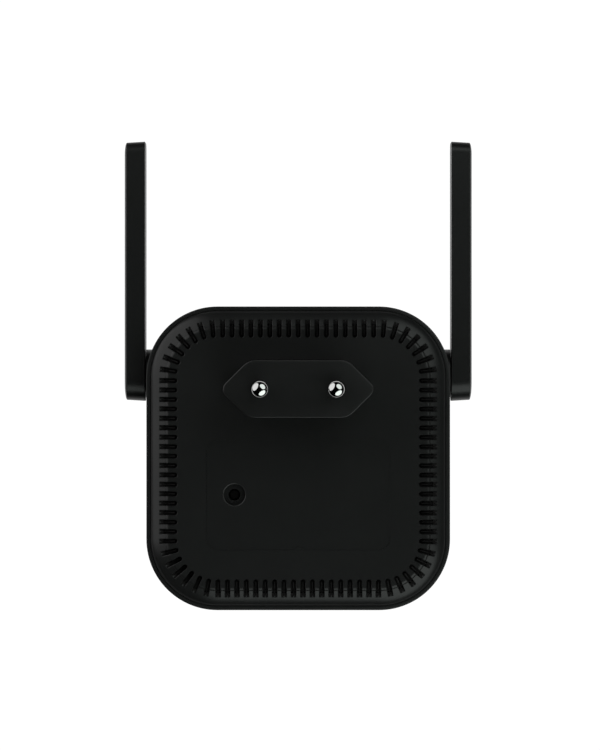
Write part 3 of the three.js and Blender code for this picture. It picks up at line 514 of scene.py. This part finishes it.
        # the slot's round inner end, and the cell's end beyond it
        c = SLOT_CHAMFER
        rim = end_arc(w + c, PANEL_Y, sides[-1][0], sides[1][0])
        lip = end_arc(w, PANEL_Y - c, sides[-1][1], sides[1][1])
        foot = end_arc(w, TROUGH_Y, sides[-1][2], sides[1][2])
        skin.strip(rim, lip, closed=False)
        skin.strip(lip, foot, closed=False)
        end_points = [local(slot, CELL_END_INSET, f * w) for f in (-0.8, 0, 0.8)]
        base = skin.ring([at(p, PANEL_Y) for p in end_points])
        base_low = skin.ring([at(p, TROUGH_Y) for p in end_points])
        round_top = [top_a[-1], *tail_a, *base, *reversed(tail_b), top_b[-1]]
        round_low = [low_a[-1], *low_tail_a, *base_low, *reversed(low_tail_b), low_b[-1]]
        skin.strip(rim, round_top, closed=False)
        skin.strip(foot, round_low, closed=False)
        outer_ring += [tail_a[-1], *base]
        under_ring += [low_tail_a[-1], *base_low]

    plug_end, label_floor = panel_face(skin, outer_ring)
    guide_end = reset_well(skin, label_floor)
    underside(skin, under_ring, [plug_end, guide_end])
    return skin.make("rear_cover_shell", 30)


def panel_face(skin, outer_ring):
    """The flat panel, with the plug's opening and the label's recess. Returns their deep ends."""
    fillet = 0.12
    plug_top = skin.ring(in_y(plug_outline(PLUG_GAP + fillet), PANEL_Y))
    plug_wall = skin.ring(in_y(plug_outline(PLUG_GAP), PANEL_Y - fillet))
    plug_end = skin.ring(in_y(plug_outline(PLUG_GAP), UNDERSIDE_Y))
    skin.strip(plug_top, plug_wall)
    skin.strip(plug_wall, plug_end)
    label_top = skin.ring(in_y(label_outline(LABEL_GAP), PANEL_Y))
    label_floor = skin.ring(in_y(label_outline(LABEL_GAP), PANEL_Y - LABEL_RECESS))
    skin.strip(label_top, label_floor)
    skin.fill([outer_ring, plug_top, label_top])
    return plug_end, label_floor


def reset_well(skin, label_floor):
    """The reset button's recess, hole and guide tube, inside the label's recess."""
    floor_y = PANEL_Y - RESET_RECESS_DEPTH
    wall_r = RESET_RECESS_R + RESET_WALL
    profile = [
        (wall_r, PANEL_Y - LABEL_RECESS), (wall_r, PANEL_Y - 0.02),
        (RESET_RECESS_R + RESET_LIP, PANEL_Y), (RESET_RECESS_R, PANEL_Y - 0.07),
        (RESET_RECESS_R, floor_y + 0.05), (RESET_RECESS_R - 0.05, floor_y),
        (RESET_HOLE_R + 0.06, floor_y), (RESET_HOLE_R, floor_y - 0.06),
        (RESET_HOLE_R, RESET_GUIDE_END_Y), (RESET_GUIDE_R, RESET_GUIDE_END_Y),
        (RESET_GUIDE_R, UNDERSIDE_Y),
    ]
    top, end = skin.loft([in_y(circle(RESET_X, RESET_Z, radius), y) for radius, y in profile])
    skin.fill([label_floor, top])
    return end


def underside(skin, under_ring, holes):
    """The panel's underside round its holes, with two screw posts."""
    profile = [
        (POST_BORE_R, POST_BORE_END_Y), (POST_BORE_R, POST_END_Y),
        (POST_R, POST_END_Y), (POST_R, UNDERSIDE_Y),
    ]
    posts = []
    for side in (-1, 1):
        low, top = skin.loft([in_y(circle(side * POST_X, POST_Z, radius, 24), y) for radius, y in profile])
        skin.cap(low)
        posts.append(top)
    edge = skin.ring(case_ring(UNDERSIDE_INSET, TROUGH_Y))
    face = skin.ring(case_ring(UNDERSIDE_INSET, UNDERSIDE_Y))
    skin.fill([under_ring, edge])
    skin.strip(edge, face)
    skin.fill([face, *holes, *posts])


# ---------- the front cover ----------

def boolean(obj, others, operation):
    """Joins or cuts closed pieces with an exact boolean, and removes them."""
    for other in others:
        mod = obj.modifiers.new("cut", "BOOLEAN")
        mod.operation = operation
        mod.solver = "EXACT"
        mod.object = other
    done = obj.evaluated_get(bpy.context.evaluated_depsgraph_get())
    mesh = bpy.data.meshes.new_from_object(done)
    obj.modifiers.clear()
    obj.data = mesh
    for other in others:
        bpy.data.objects.remove(other)


def turned(name, profile, centre, axis, side=1, steps=48):
    """A solid of revolution: profile holds (radius, place along the axis) pairs in millimetres."""
    skin = Skin()
    rings = []
    for radius, along in profile:
        if axis == "y":
            rings.append(in_y(circle(centre[0], centre[1], max(radius, 1e-4), steps), along))
        else:
            rings.append(in_x(circle(centre[0], centre[1], max(radius, 1e-4), steps), side * along))
    first, last = skin.loft(rings)
    skin.cap(first)
    skin.cap(last)
    return skin.make(name)


def front_cover():
    """The deep shell, with a boss and a hole for each antenna's barrel and a window for the light."""
    skin = Skin()
    lip = 0.06
    edge = 5
    profile = []
    for i in range(13):
        a = math.pi / 2 * i / 12
        profile.append((edge * (1 - math.sin(a)), FRONT_Y + edge * (1 - math.cos(a))))
    profile += bend((0, RIM_Y - 0.3), (0.01, RIM_Y - 0.1), RIM_OUTER_EDGE, 6)
    profile += bend((RIM_WIDTH - lip, RIM_Y), (RIM_WIDTH, RIM_Y), (RIM_WIDTH, RIM_Y - lip), 4)
    profile += [
        (RIM_WIDTH, SHELF_Y), (WALL, SHELF_Y), (WALL, FRONT_Y + WALL + 2.5),
        (WALL + 0.8, FRONT_Y + WALL + 0.8), (WALL + 2.5, FRONT_Y + WALL),
    ]
    first, last = skin.loft([case_ring(inset, y) for inset, y in profile])
    skin.cap(first)
    skin.cap(last)
    cover = skin.make("front_cover_shell")
    hinge = (HINGE_Y, HINGE_Z)
    boss = [(BOSS_R, BOSS_INNER_X), (BOSS_R, BOSS_X - 0.1), (BOSS_R - 0.1, BOSS_X)]
    bosses = [turned("boss", boss, hinge, "x", side, 64) for side in SIDES.values()]
    boolean(cover, bosses, "UNION")
    hole = [(BARREL_HOLE_R, BOSS_INNER_X - 1), (BARREL_HOLE_R, BOSS_X + 1)]
    holes = [turned("hole", hole, hinge, "x", side) for side in SIDES.values()]
    light_low, light_high = box_mm("light_pipe")
    window = Skin()
    outline = rounded(WINDOW_HALF_X, WINDOW_HALF_Z, WINDOW_HALF_Z, 0, (light_low.z + light_high.z) / 2, 12)
    a, b = window.loft([in_y(outline, FRONT_Y - 1), in_y(outline, FRONT_Y + WALL + 1)])
    window.cap(a)
    window.cap(b)
    holes.append(window.make("window"))
    boolean(cover, holes, "DIFFERENCE")
    smooth(cover.data, 30)
    return cover


# ---------- plug, pins, label, reset button ----------

PIN_LEAN = math.atan(0.3 / 19)
PIN_X = 9.3
PIN_LENGTH = 19
PIN_DOME = 1.4
PIN_R = 1.98
PIN_NECK_R = 1.75
PIN_CORE_R = 1.3
PIN_TAIL_Y = -23.4
PIN_BORE_R = 2
SLEEVE_R = 1.9
SLEEVE_BORE_R = 1.36
SLEEVE_TAIL_Y = -20.9
SLEEVE_END = 10
STEM_R = 1.28
STEM_FOOT_R = 1.35
STEM_COLLAR_R = 2.25


def plug_housing():
    """The hexagonal block, with a rounded front edge and the bores that hold the pins."""
    skin = Skin()
    edge = 0.3
    rings = [in_y(plug_outline(), plug_low.y), in_y(plug_outline(), -edge)]
    for i in range(1, 6):
        a = math.pi / 2 * i / 5
        rings.append(in_y(plug_outline(-edge * (1 - math.cos(a))), -edge * (1 - math.sin(a))))
    back, face = skin.loft(rings)
    bores_face, bores_back = [], []
    for side in (-1, 1):
        x = side * PIN_X
        back_x = x - side * math.tan(PIN_LEAN) * plug_low.y
        lip, end = skin.loft([
            in_y(circle(x, 0, PIN_BORE_R + 0.12), 0),
            in_y(circle(x, 0, PIN_BORE_R), -0.12),
            in_y(circle(back_x, 0, PIN_BORE_R), plug_low.y),
        ])
        bores_face.append(lip)
        bores_back.append(end)
    skin.fill([face, *bores_face])
    skin.fill([back, *bores_back])
    return skin.make("plug_block", 30)


def lean(obj, side):
    """Leans a pin's piece, made along Y through the origin, to its place in the plug's face."""
    place = Matrix.Translation((side * PIN_X * MM, 0, 0))
    obj.data.transform(place @ Matrix.Rotation(side * PIN_LEAN, 4, "Z"))
    return obj


def mains_pin(side):
    """A pin: a thin core inside its sleeve, then a bare tip that ends in a dome."""
    tip_start = SLEEVE_END + 0.1
    profile = [(0, PIN_TAIL_Y), (PIN_CORE_R, PIN_TAIL_Y), (PIN_CORE_R, tip_start), (PIN_NECK_R, tip_start)]
    profile += bend((PIN_NECK_R, tip_start), (PIN_R, tip_start), (PIN_R, tip_start + 0.25), 4)
    for i in range(17):
        a = math.pi / 2 * i / 16
        profile.append((PIN_R * math.cos(a), PIN_LENGTH - 0.02 - PIN_DOME * (1 - math.sin(a))))
    return lean(turned("mains_pin_metal", profile, (0, 0), "y", steps=64), side)


def pin_sleeve(side):
    """The plastic tube round a pin's core, its outer end rounded."""
    edge = 0.2
    shoulder = (SLEEVE_R, SLEEVE_END - edge)
    profile = [(SLEEVE_BORE_R, SLEEVE_TAIL_Y), (SLEEVE_R, SLEEVE_TAIL_Y), shoulder]
    profile += bend(shoulder, (SLEEVE_R, SLEEVE_END), (SLEEVE_R - edge, SLEEVE_END), 4)
    profile += [(SLEEVE_BORE_R, SLEEVE_END)]
    skin = Skin()
    first, last = skin.loft([in_y(circle(0, 0, r), y) for r, y in profile])
    skin.strip(last, first)
    return lean(skin.make("pin_sleeve_tube"), side)


def rating_label():
    """A blank label with a hole round the reset button's recess."""
    skin = Skin()
    top = PANEL_Y - LABEL_SINK
    low = PANEL_Y - LABEL_RECESS + GLUE_GAP
    back, face = skin.loft([in_y(label_outline(), y) for y in (low, top)])
    hole = circle(RESET_X, RESET_Z, RESET_RECESS_R + RESET_WALL + 0.03)
    hole_back, hole_face = skin.loft([in_y(hole, y) for y in (low, top)])
    skin.fill([face, hole_face])
    skin.fill([back, hole_back])
    return skin.make("blank_label")


def reset_stem():
    """The button's plunger: a foot on the switch, a collar under the guide tube and a round top."""
    low, high = box_mm("reset_stem")
    top, foot = high.y, low.y
    collar_top = RESET_GUIDE_END_Y - 0.25
    profile = [(0, foot), (STEM_FOOT_R, foot), (STEM_FOOT_R, foot + 2.4), (STEM_COLLAR_R, foot + 3)]
    profile += [(STEM_COLLAR_R, collar_top), (STEM_R, collar_top), (STEM_R, top - 0.4)]
    profile += bend((STEM_R, top - 0.4), (STEM_R, top), (0.8, top), 5) + [(0, top)]
    return turned("reset_plunger", profile, (RESET_X, RESET_Z), "y")


# ---------- antennas ----------

def paddle_ring(low, high, inset, draft, x, side, steps=14):
    """A ring of the paddle's rounded outline in Y and Z, at a place along X."""
    half = (high.y - low.y) / 2 - inset
    top, foot = high.z - inset - draft, low.z + inset + draft
    top_r, foot_r = (max(r - inset, 0.3) for r in (PADDLE_TOP_R, PADDLE_FOOT_R))
    outline = filleted([
        (HINGE_Y + half, foot, foot_r), (HINGE_Y + half, top, top_r),
        (HINGE_Y - half, top, top_r), (HINGE_Y - half, foot, foot_r),
    ], steps)
    return in_x(outline, side * x)


def antenna_shell(name):
    """A tray with a pillowed outer face, its inner side open for the lid."""
    side = SIDES[name]
    low, high = box_mm("antenna_shell_" + name)
    inner = min(abs(low.x), abs(high.x))
    outer = max(abs(low.x), abs(high.x))
    band = 3.4
    sag = 0.62
    edge = 0.1
    profile = []
    for i in range(15):
        # the outer face falls away towards its edge along a quarter of an ellipse
        a = math.pi / 2 * i / 14
        profile.append((band * (1 - math.cos(a)), 0.25, outer - sag * (1 - math.sin(a))))
    walls = [(edge, 0, inner), (0, 0, inner + edge), (0, 0, inner + 0.2), (0, 0.25, outer - sag - 0.05)]
    lid_seat = inner + LID_THICKNESS + 0.1
    ledge = PADDLE_RIM + 0.7
    cavity = [
        (2, 0.2, outer - 1.2), (ledge, 0.2, outer - 1.4), (ledge, 0, lid_seat), (PADDLE_RIM, 0, lid_seat),
        (PADDLE_RIM, 0, inner + edge), (PADDLE_RIM - edge, 0, inner),
    ]
    skin = Skin()
    first, last = skin.loft([
        paddle_ring(low, high, inset, draft, x, side) for inset, draft, x in cavity + walls + profile])
    skin.cap(first)
    skin.cap(last)
    return skin.make("antenna_case_" + name, 28)


def antenna_lid(name):
    """The plate that closes the paddle's inner side, with the hub and the grooved hinge barrel."""
    side = SIDES[name]
    low, high = box_mm("antenna_shell_" + name)
    inner = min(abs(low.x), abs(high.x))
    skin = Skin()
    edge = 0.08
    rim = PADDLE_RIM + 0.12
    back = inner + LID_THICKNESS
    far, near = skin.loft([
        paddle_ring(low, high, rim, 0, back, side),
        paddle_ring(low, high, rim, 0, inner + edge, side),
        paddle_ring(low, high, rim + edge, 0, inner, side),
    ])
    groove_start, groove_end = BARREL_END_X + 0.9, BARREL_END_X + 1.8
    barrel = [
        (HUB_R, inner), (HUB_R, HUB_X + 0.06), (HUB_R - 0.06, HUB_X), (BARREL_R, HUB_X),
        (BARREL_R, groove_end), (BARREL_GROOVE_R, groove_end), (BARREL_GROOVE_R, groove_start),
        (BARREL_R, groove_start), (BARREL_R, BARREL_END_X + 0.2), (BARREL_R - 0.2, BARREL_END_X),
        (BARREL_BORE_R, BARREL_END_X), (BARREL_BORE_R, back),
    ]
    base, bore = skin.loft([in_x(circle(HINGE_Y, HINGE_Z, radius), side * x) for radius, x in barrel])
    skin.fill([near, base], 0)
    skin.fill([far, bore], 0)
    return skin.make("antenna_back_" + name, 28)


# ---------- materials ----------

GRAIN_DEPTH = 0.02 * MM
MARK_DEPTH = 0.01 * MM
TRACK_DEPTH = 0.03 * MM


def node(tree, kind, **values):
    """Adds a shader node, setting its properties or, where it has none of that name, its inputs."""
    made = tree.nodes.new(kind)
    for key, value in values.items():
        if hasattr(made, key):
            setattr(made, key, value)
        else:
            made.inputs[key.replace("_", " ")].default_value = value
    return made


def mixed(tree, factor, a, b):
    """A colour between a and b by a factor socket."""
    mix = tree.nodes.new("ShaderNodeMix")
    mix.data_type = "RGBA"
    tree.links.new(factor, mix.inputs[0])
    for value, socket in ((a, mix.inputs[6]), (b, mix.inputs[7])):
        if hasattr(value, "is_linked"):
            tree.links.new(value, socket)
        else:
            socket.default_value = (*value, 1)
    return mix.outputs[2]


def spread(tree, source, low, high):
    """Maps a 0 to 1 value onto low to high."""
    ranged = tree.nodes.new("ShaderNodeMapRange")
    tree.links.new(source, ranged.inputs["Value"])
    ranged.inputs["To Min"].default_value = low
    ranged.inputs["To Max"].default_value = high
    return ranged.outputs["Result"]


def noise(tree, scale, detail=2, stretch=None):
    """Noise over the object's own coordinates: scale is in features per metre."""
    where = tree.nodes.new("ShaderNodeTexCoord").outputs["Object"]
    if stretch:
        mapping = tree.nodes.new("ShaderNodeMapping")
        mapping.inputs["Scale"].default_value = stretch
        tree.links.new(where, mapping.inputs["Vector"])
        where = mapping.outputs["Vector"]
    made = node(tree, "ShaderNodeTexNoise", Scale=scale, Detail=detail)
    tree.links.new(where, made.inputs["Vector"])
    return made.outputs["Fac"]


def bumped(tree, shader, height, strength, distance):
    """Gives a shader relief from a height socket."""
    bump = node(tree, "ShaderNodeBump", Strength=strength, Distance=distance)
    tree.links.new(height, bump.inputs["Height"])
    tree.links.new(bump.outputs["Normal"], shader.inputs["Normal"])


def new_material(name, **inputs):
    """A material with some of its Principled shader's inputs set: an underscore stands for a space."""
    material = bpy.data.materials.new(name)
    material.use_nodes = True
    tree = material.node_tree
    shader = tree.nodes["Principled BSDF"]
    for key, value in inputs.items():
        shader.inputs[key.replace("_", " ")].default_value = value
    return material, tree, shader


ROUGH_SPREAD = 0.06


def moulded(name, color, roughness, grain=9000, bump=0.12, specular=0.5, tint=0.25):
    """Moulded plastic: a fine spark-eroded grain, with slow changes of shade and gloss."""
    material, tree, shader = new_material(name, Specular_IOR_Level=specular, IOR=1.47)
    slow = noise(tree, 60, 3)
    dark = [c * (1 - tint) for c in color]
    light = [c * (1 + tint) for c in color]
    tree.links.new(mixed(tree, slow, dark, light), shader.inputs["Base Color"])
    fine = noise(tree, grain, 3)
    gloss = spread(tree, fine, roughness - ROUGH_SPREAD, roughness + ROUGH_SPREAD)
    tree.links.new(gloss, shader.inputs["Roughness"])
    bumped(tree, shader, fine, bump, GRAIN_DEPTH)
    return material


def metal(name, color, roughness, stretch=(1, 1, 1), grain=4000, bump=0.1, tint=0.12):
    """Plated or bare metal: fine marks that run along one axis, and a slow change of shade."""
    material, tree, shader = new_material(name, Metallic=1)
    slow = noise(tree, 250, 3)
    dark = [c * (1 - tint) for c in color]
    tree.links.new(mixed(tree, slow, dark, color), shader.inputs["Base Color"])
    marks = noise(tree, grain, 3, stretch)
    tree.links.new(spread(tree, marks, roughness * 0.7, roughness * 1.4), shader.inputs["Roughness"])
    bumped(tree, shader, marks, bump, MARK_DEPTH)
    return material


def circuit_board(name):
    """Solder mask over copper tracks: blocky cells for copper areas and a weave under the mask."""
    material, tree, shader = new_material(name, Coat_Weight=0.6, Coat_Roughness=0.15, Roughness=0.45)
    where = tree.nodes.new("ShaderNodeTexCoord").outputs["Object"]
    cells = node(tree, "ShaderNodeTexVoronoi", Scale=380, Randomness=0.85)
    cells.distance = "MANHATTAN"
    tree.links.new(where, cells.inputs["Vector"])
    edge = node(tree, "ShaderNodeMapRange")
    edge.inputs["From Min"].default_value = 0.32
    edge.inputs["From Max"].default_value = 0.36
    tree.links.new(cells.outputs["Distance"], edge.inputs["Value"])
    bare = (0.008, 0.07, 0.03)
    copper = (0.02, 0.15, 0.06)
    tree.links.new(mixed(tree, edge.outputs["Result"], bare, copper), shader.inputs["Base Color"])
    bumped(tree, shader, edge.outputs["Result"], 0.4, TRACK_DEPTH)
    return material


def clear_plastic(name):
    """Slightly cloudy clear plastic."""
    material, tree, shader = new_material(name, Transmission_Weight=0.75, IOR=1.49)
    cloud = noise(tree, 900, 2)
    color = mixed(tree, cloud, (0.8, 0.84, 0.86), (0.9, 0.93, 0.95))
    tree.links.new(color, shader.inputs["Base Color"])
    tree.links.new(spread(tree, cloud, 0.12, 0.3), shader.inputs["Roughness"])
    bumped(tree, shader, cloud, 0.05, GRAIN_DEPTH)
    return material


BLACK = (0.0153, 0.0158, 0.0156)
MATERIALS = {
    "case_black": moulded("case_black", BLACK, 0.31),
    "cover_black": moulded("cover_black", BLACK, 0.31),
    # the baffle's colour, half the case's, is painted shade for the slots' depths, on the baffle and on
    # the cover's sunk faces; its rougher, less glossy finish is real
    "baffle_black": moulded("baffle_black", (0.0075, 0.0066, 0.0066), 0.5, specular=0.25),
    "plug_black": moulded("plug_black", BLACK, 0.31),
    "label_black": moulded("label_black", BLACK, 0.3, grain=20000, bump=0.04),
    "antenna_black": moulded("antenna_black", BLACK, 0.3),
    "sleeve_black": moulded("sleeve_black", BLACK, 0.35, bump=0.04),
    "pin_nickel": metal("pin_nickel", (0.9, 0.9, 0.89), 0.06, (1, 0.15, 1), bump=0.02),
    "contact_brass": metal("contact_brass", (0.75, 0.55, 0.25), 0.28, (1, 1, 0.1)),
    "spring_steel": metal("spring_steel", (0.52, 0.53, 0.55), 0.3, (0.2, 1, 1)),
    "screw_steel": metal("screw_steel", (0.60, 0.61, 0.63), 0.28),
    "tin_plate": metal("tin_plate", (0.66, 0.67, 0.68), 0.3, (0.1, 1, 1)),
    "spreader_aluminium": metal("spreader_aluminium", (0.72, 0.73, 0.74), 0.35, (1, 1, 0.08)),
    "board_green": circuit_board("board_green"),
    "chip_black": moulded("chip_black", (0.012, 0.012, 0.013), 0.5),
    "ceramic_white": moulded("ceramic_white", (0.68, 0.66, 0.60), 0.6, tint=0.05),
    "ceramic_blue": moulded("ceramic_blue", (0.02, 0.10, 0.36), 0.4, grain=2500, tint=0.2),
    "film_box_yellow": moulded("film_box_yellow", (0.58, 0.36, 0.03), 0.35, tint=0.08),
    "capacitor_sleeve": moulded("capacitor_sleeve", (0.015, 0.025, 0.07), 0.25, grain=2500, bump=0.05),
    "ferrite": moulded("ferrite", (0.05, 0.05, 0.052), 0.6, grain=6000, bump=0.4),
    "winding_tape": moulded("winding_tape", (0.55, 0.36, 0.05), 0.25, grain=3000, tint=0.15),
    "pad_silicone": moulded("pad_silicone", (0.20, 0.26, 0.34), 0.7),
    "insulation_paper": moulded("insulation_paper", (0.50, 0.46, 0.37), 0.8, grain=5000, bump=0.3),
    "lens_clear": clear_plastic("lens_clear"),
    "stem_plastic": moulded("stem_plastic", (0.0032, 0.0024, 0.0024), 0.6, specular=0.1),
    "cable_jacket": moulded("cable_jacket", (0.012, 0.012, 0.012), 0.45, grain=5000),
}


def dress(obj, slot):
    """Gives an object the material of one of the record's slots, and no other."""
    obj.data.materials.clear()
    obj.data.materials.append(MATERIALS[slot])


slot_of = {row["node"]: row["material_slot"] for row in frame["record"]["subparts"]}
body_of = {n: body for body, names in frame["record"]["behaviour"]["bodies"].items() for n in names}
for cad_name, cad_object in frame["nodes"].items():
    dress(cad_object, slot_of[cad_name])


def stand_for(piece, cad_name):
    """Puts a detailed piece in a frame node's place, with its body and its finish."""
    piece.name = cad_name + "_fine"
    dress(piece, slot_of[cad_name])
    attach(piece, body_of[cad_name])
    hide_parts(cad_name)


def paint_slot_shade(cover):
    """Paints shade into what lies sunk in the slots: gives it the baffle's duller material, whose colour,
    half the case's, is painted shade.
    """
    cover.data.materials.append(MATERIALS["baffle_black"])
    least_depth = 0.3
    margin = 0.1
    for face in cover.data.polygons:
        centre = face.center / MM
        inset = inset_of(Vector((centre.x, centre.z - CASE_Z)))
        sunk = surface_y(inset) - centre.y > least_depth
        if sunk and SLOT_OUTER_INSET - margin < inset < SLOT_INNER_INSET + margin:
            face.material_index = 1


cover_piece = rear_cover()
stand_for(cover_piece, "rear_cover")
paint_slot_shade(cover_piece)
stand_for(front_cover(), "front_cover")
stand_for(plug_housing(), "plug_housing")
stand_for(rating_label(), "rating_label")
stand_for(reset_stem(), "reset_stem")
for side_name, side_sign in SIDES.items():
    stand_for(mains_pin(side_sign), "mains_pin_" + side_name)
    stand_for(pin_sleeve(side_sign), "pin_sleeve_" + side_name)
    stand_for(antenna_shell(side_name), "antenna_shell_" + side_name)
    stand_for(antenna_lid(side_name), "antenna_lid_" + side_name)


# ---------- camera, floor and light ----------

CAMERA_DISTANCE = 1.2
VIEW_HEIGHT = 0.1827  # height of the picture where the case's rim lies
SENSOR = 36
LEVEL = Vector((-0.44, RIM_Y, 3.4))  # the camera's line meets the rim's plane here, in millimetres
LIGHT_DISTANCE = 0.8
LIGHT_TARGET = Vector((0, -0.02, -0.01))
GREENISH = (0.93, 1, 0.965)
FLOOR_Z = -0.95  # low enough for the lights that shine up from beside the part
FLOOR_RADIUS = 2
FLOOR_GLOW = 0.72
WORLD_DIM = 0
WORLD_BACK = 0.6
WORLD_SEEN = 1.05


def place_camera():
    """A long lens that looks straight at the panel, level with the plug."""
    data = bpy.data.cameras.new("camera")
    data.sensor_width = SENSOR
    data.lens = SENSOR * CAMERA_DISTANCE / VIEW_HEIGHT
    camera = bpy.data.objects.new("camera", data)
    camera.location = LEVEL * MM + Vector((0, CAMERA_DISTANCE, 0))
    camera.rotation_euler = (math.radians(90), 0, math.radians(180))
    bpy.context.scene.collection.objects.link(camera)
    bpy.context.scene.camera = camera


def soft_box(name, azimuth, angle, size, glow, tint=(1, 1, 1)):
    """An oval soft box aimed at the part: azimuth turns anticlockwise from the picture's right, and
    angle leans away from the camera's line. Its size is radial, then tangential. Its power is its
    glow, the radiance, times pi and its oval's area."""
    a, b = math.radians(azimuth), math.radians(angle)
    way = Vector((-math.sin(b) * math.cos(a), math.cos(b), math.sin(b) * math.sin(a)))
    along = Vector((math.sin(a), 0, math.cos(a)))
    data = bpy.data.lights.new(name, "AREA")
    data.shape = "ELLIPSE"
    data.size, data.size_y = size
    data.energy = glow * math.pi * math.pi / 4 * size[0] * size[1]
    data.color = tint
    light = bpy.data.objects.new(name, data)
    light.location = LIGHT_TARGET + LIGHT_DISTANCE * way
    light.rotation_euler = Matrix((along.cross(way), along, way)).transposed().to_euler()
    light.visible_camera = False
    bpy.context.scene.collection.objects.link(light)


def pale_floor():
    """A round pale floor that gives off some light of its own, and is kept out of reflections."""
    work = bmesh.new()
    bmesh.ops.create_circle(work, cap_ends=True, radius=FLOOR_RADIUS, segments=96)
    mesh = bpy.data.meshes.new("floor")
    work.to_mesh(mesh)
    work.free()
    floor = bpy.data.objects.new("floor", mesh)
    floor.location = (0, 0, FLOOR_Z)
    bpy.context.scene.collection.objects.link(floor)
    glow = {"Emission_Color": (1, 1, 1, 1), "Emission_Strength": FLOOR_GLOW}
    material, tree, shader = new_material("floor_white", Roughness=0.8, **glow)
    color = mixed(tree, noise(tree, 8, 2), (0.86, 0.86, 0.86), (0.9, 0.9, 0.9))
    tree.links.new(color, shader.inputs["Base Color"])
    mesh.materials.append(material)
    floor.visible_glossy = False
    floor.visible_diffuse = False


def studio_world():
    """White to the camera. The light it gives is dim in front of the part and bright behind it."""
    world = bpy.data.worlds.new("studio")
    world.use_nodes = True
    tree = world.node_tree
    tree.nodes.clear()
    path = tree.nodes.new("ShaderNodeLightPath")
    where = tree.nodes.new("ShaderNodeTexCoord").outputs["Generated"]
    parts = tree.nodes.new("ShaderNodeSeparateXYZ")
    tree.links.new(where, parts.inputs[0])
    behind = node(tree, "ShaderNodeMapRange", interpolation_type="SMOOTHSTEP")
    behind.inputs["From Min"].default_value = -0.2
    behind.inputs["From Max"].default_value = -0.7
    behind.inputs["To Min"].default_value = WORLD_DIM
    behind.inputs["To Max"].default_value = WORLD_BACK
    tree.links.new(parts.outputs["Y"], behind.inputs["Value"])
    glow = node(tree, "ShaderNodeBackground", Color=(1, 1, 1, 1))
    tree.links.new(behind.outputs["Result"], glow.inputs["Strength"])
    white = node(tree, "ShaderNodeBackground", Color=(1, 1, 1, 1), Strength=WORLD_SEEN)
    mix = tree.nodes.new("ShaderNodeMixShader")
    out = tree.nodes.new("ShaderNodeOutputWorld")
    tree.links.new(path.outputs["Is Camera Ray"], mix.inputs[0])
    tree.links.new(glow.outputs[0], mix.inputs[1])
    tree.links.new(white.outputs[0], mix.inputs[2])
    tree.links.new(mix.outputs[0], out.inputs[0])
    bpy.context.scene.world = world


place_camera()
pale_floor()
studio_world()
soft_box("left_box", 150, 70, (1.4, 1.3), 0.82)
soft_box("top_right_box", 46, 44, (0.76, 0.9), 0.92, GREENISH)
soft_box("low_right_box", 303, 50, (0.85, 1.15), 1.15, GREENISH)
bpy.context.scene.view_settings.view_transform = "Standard"
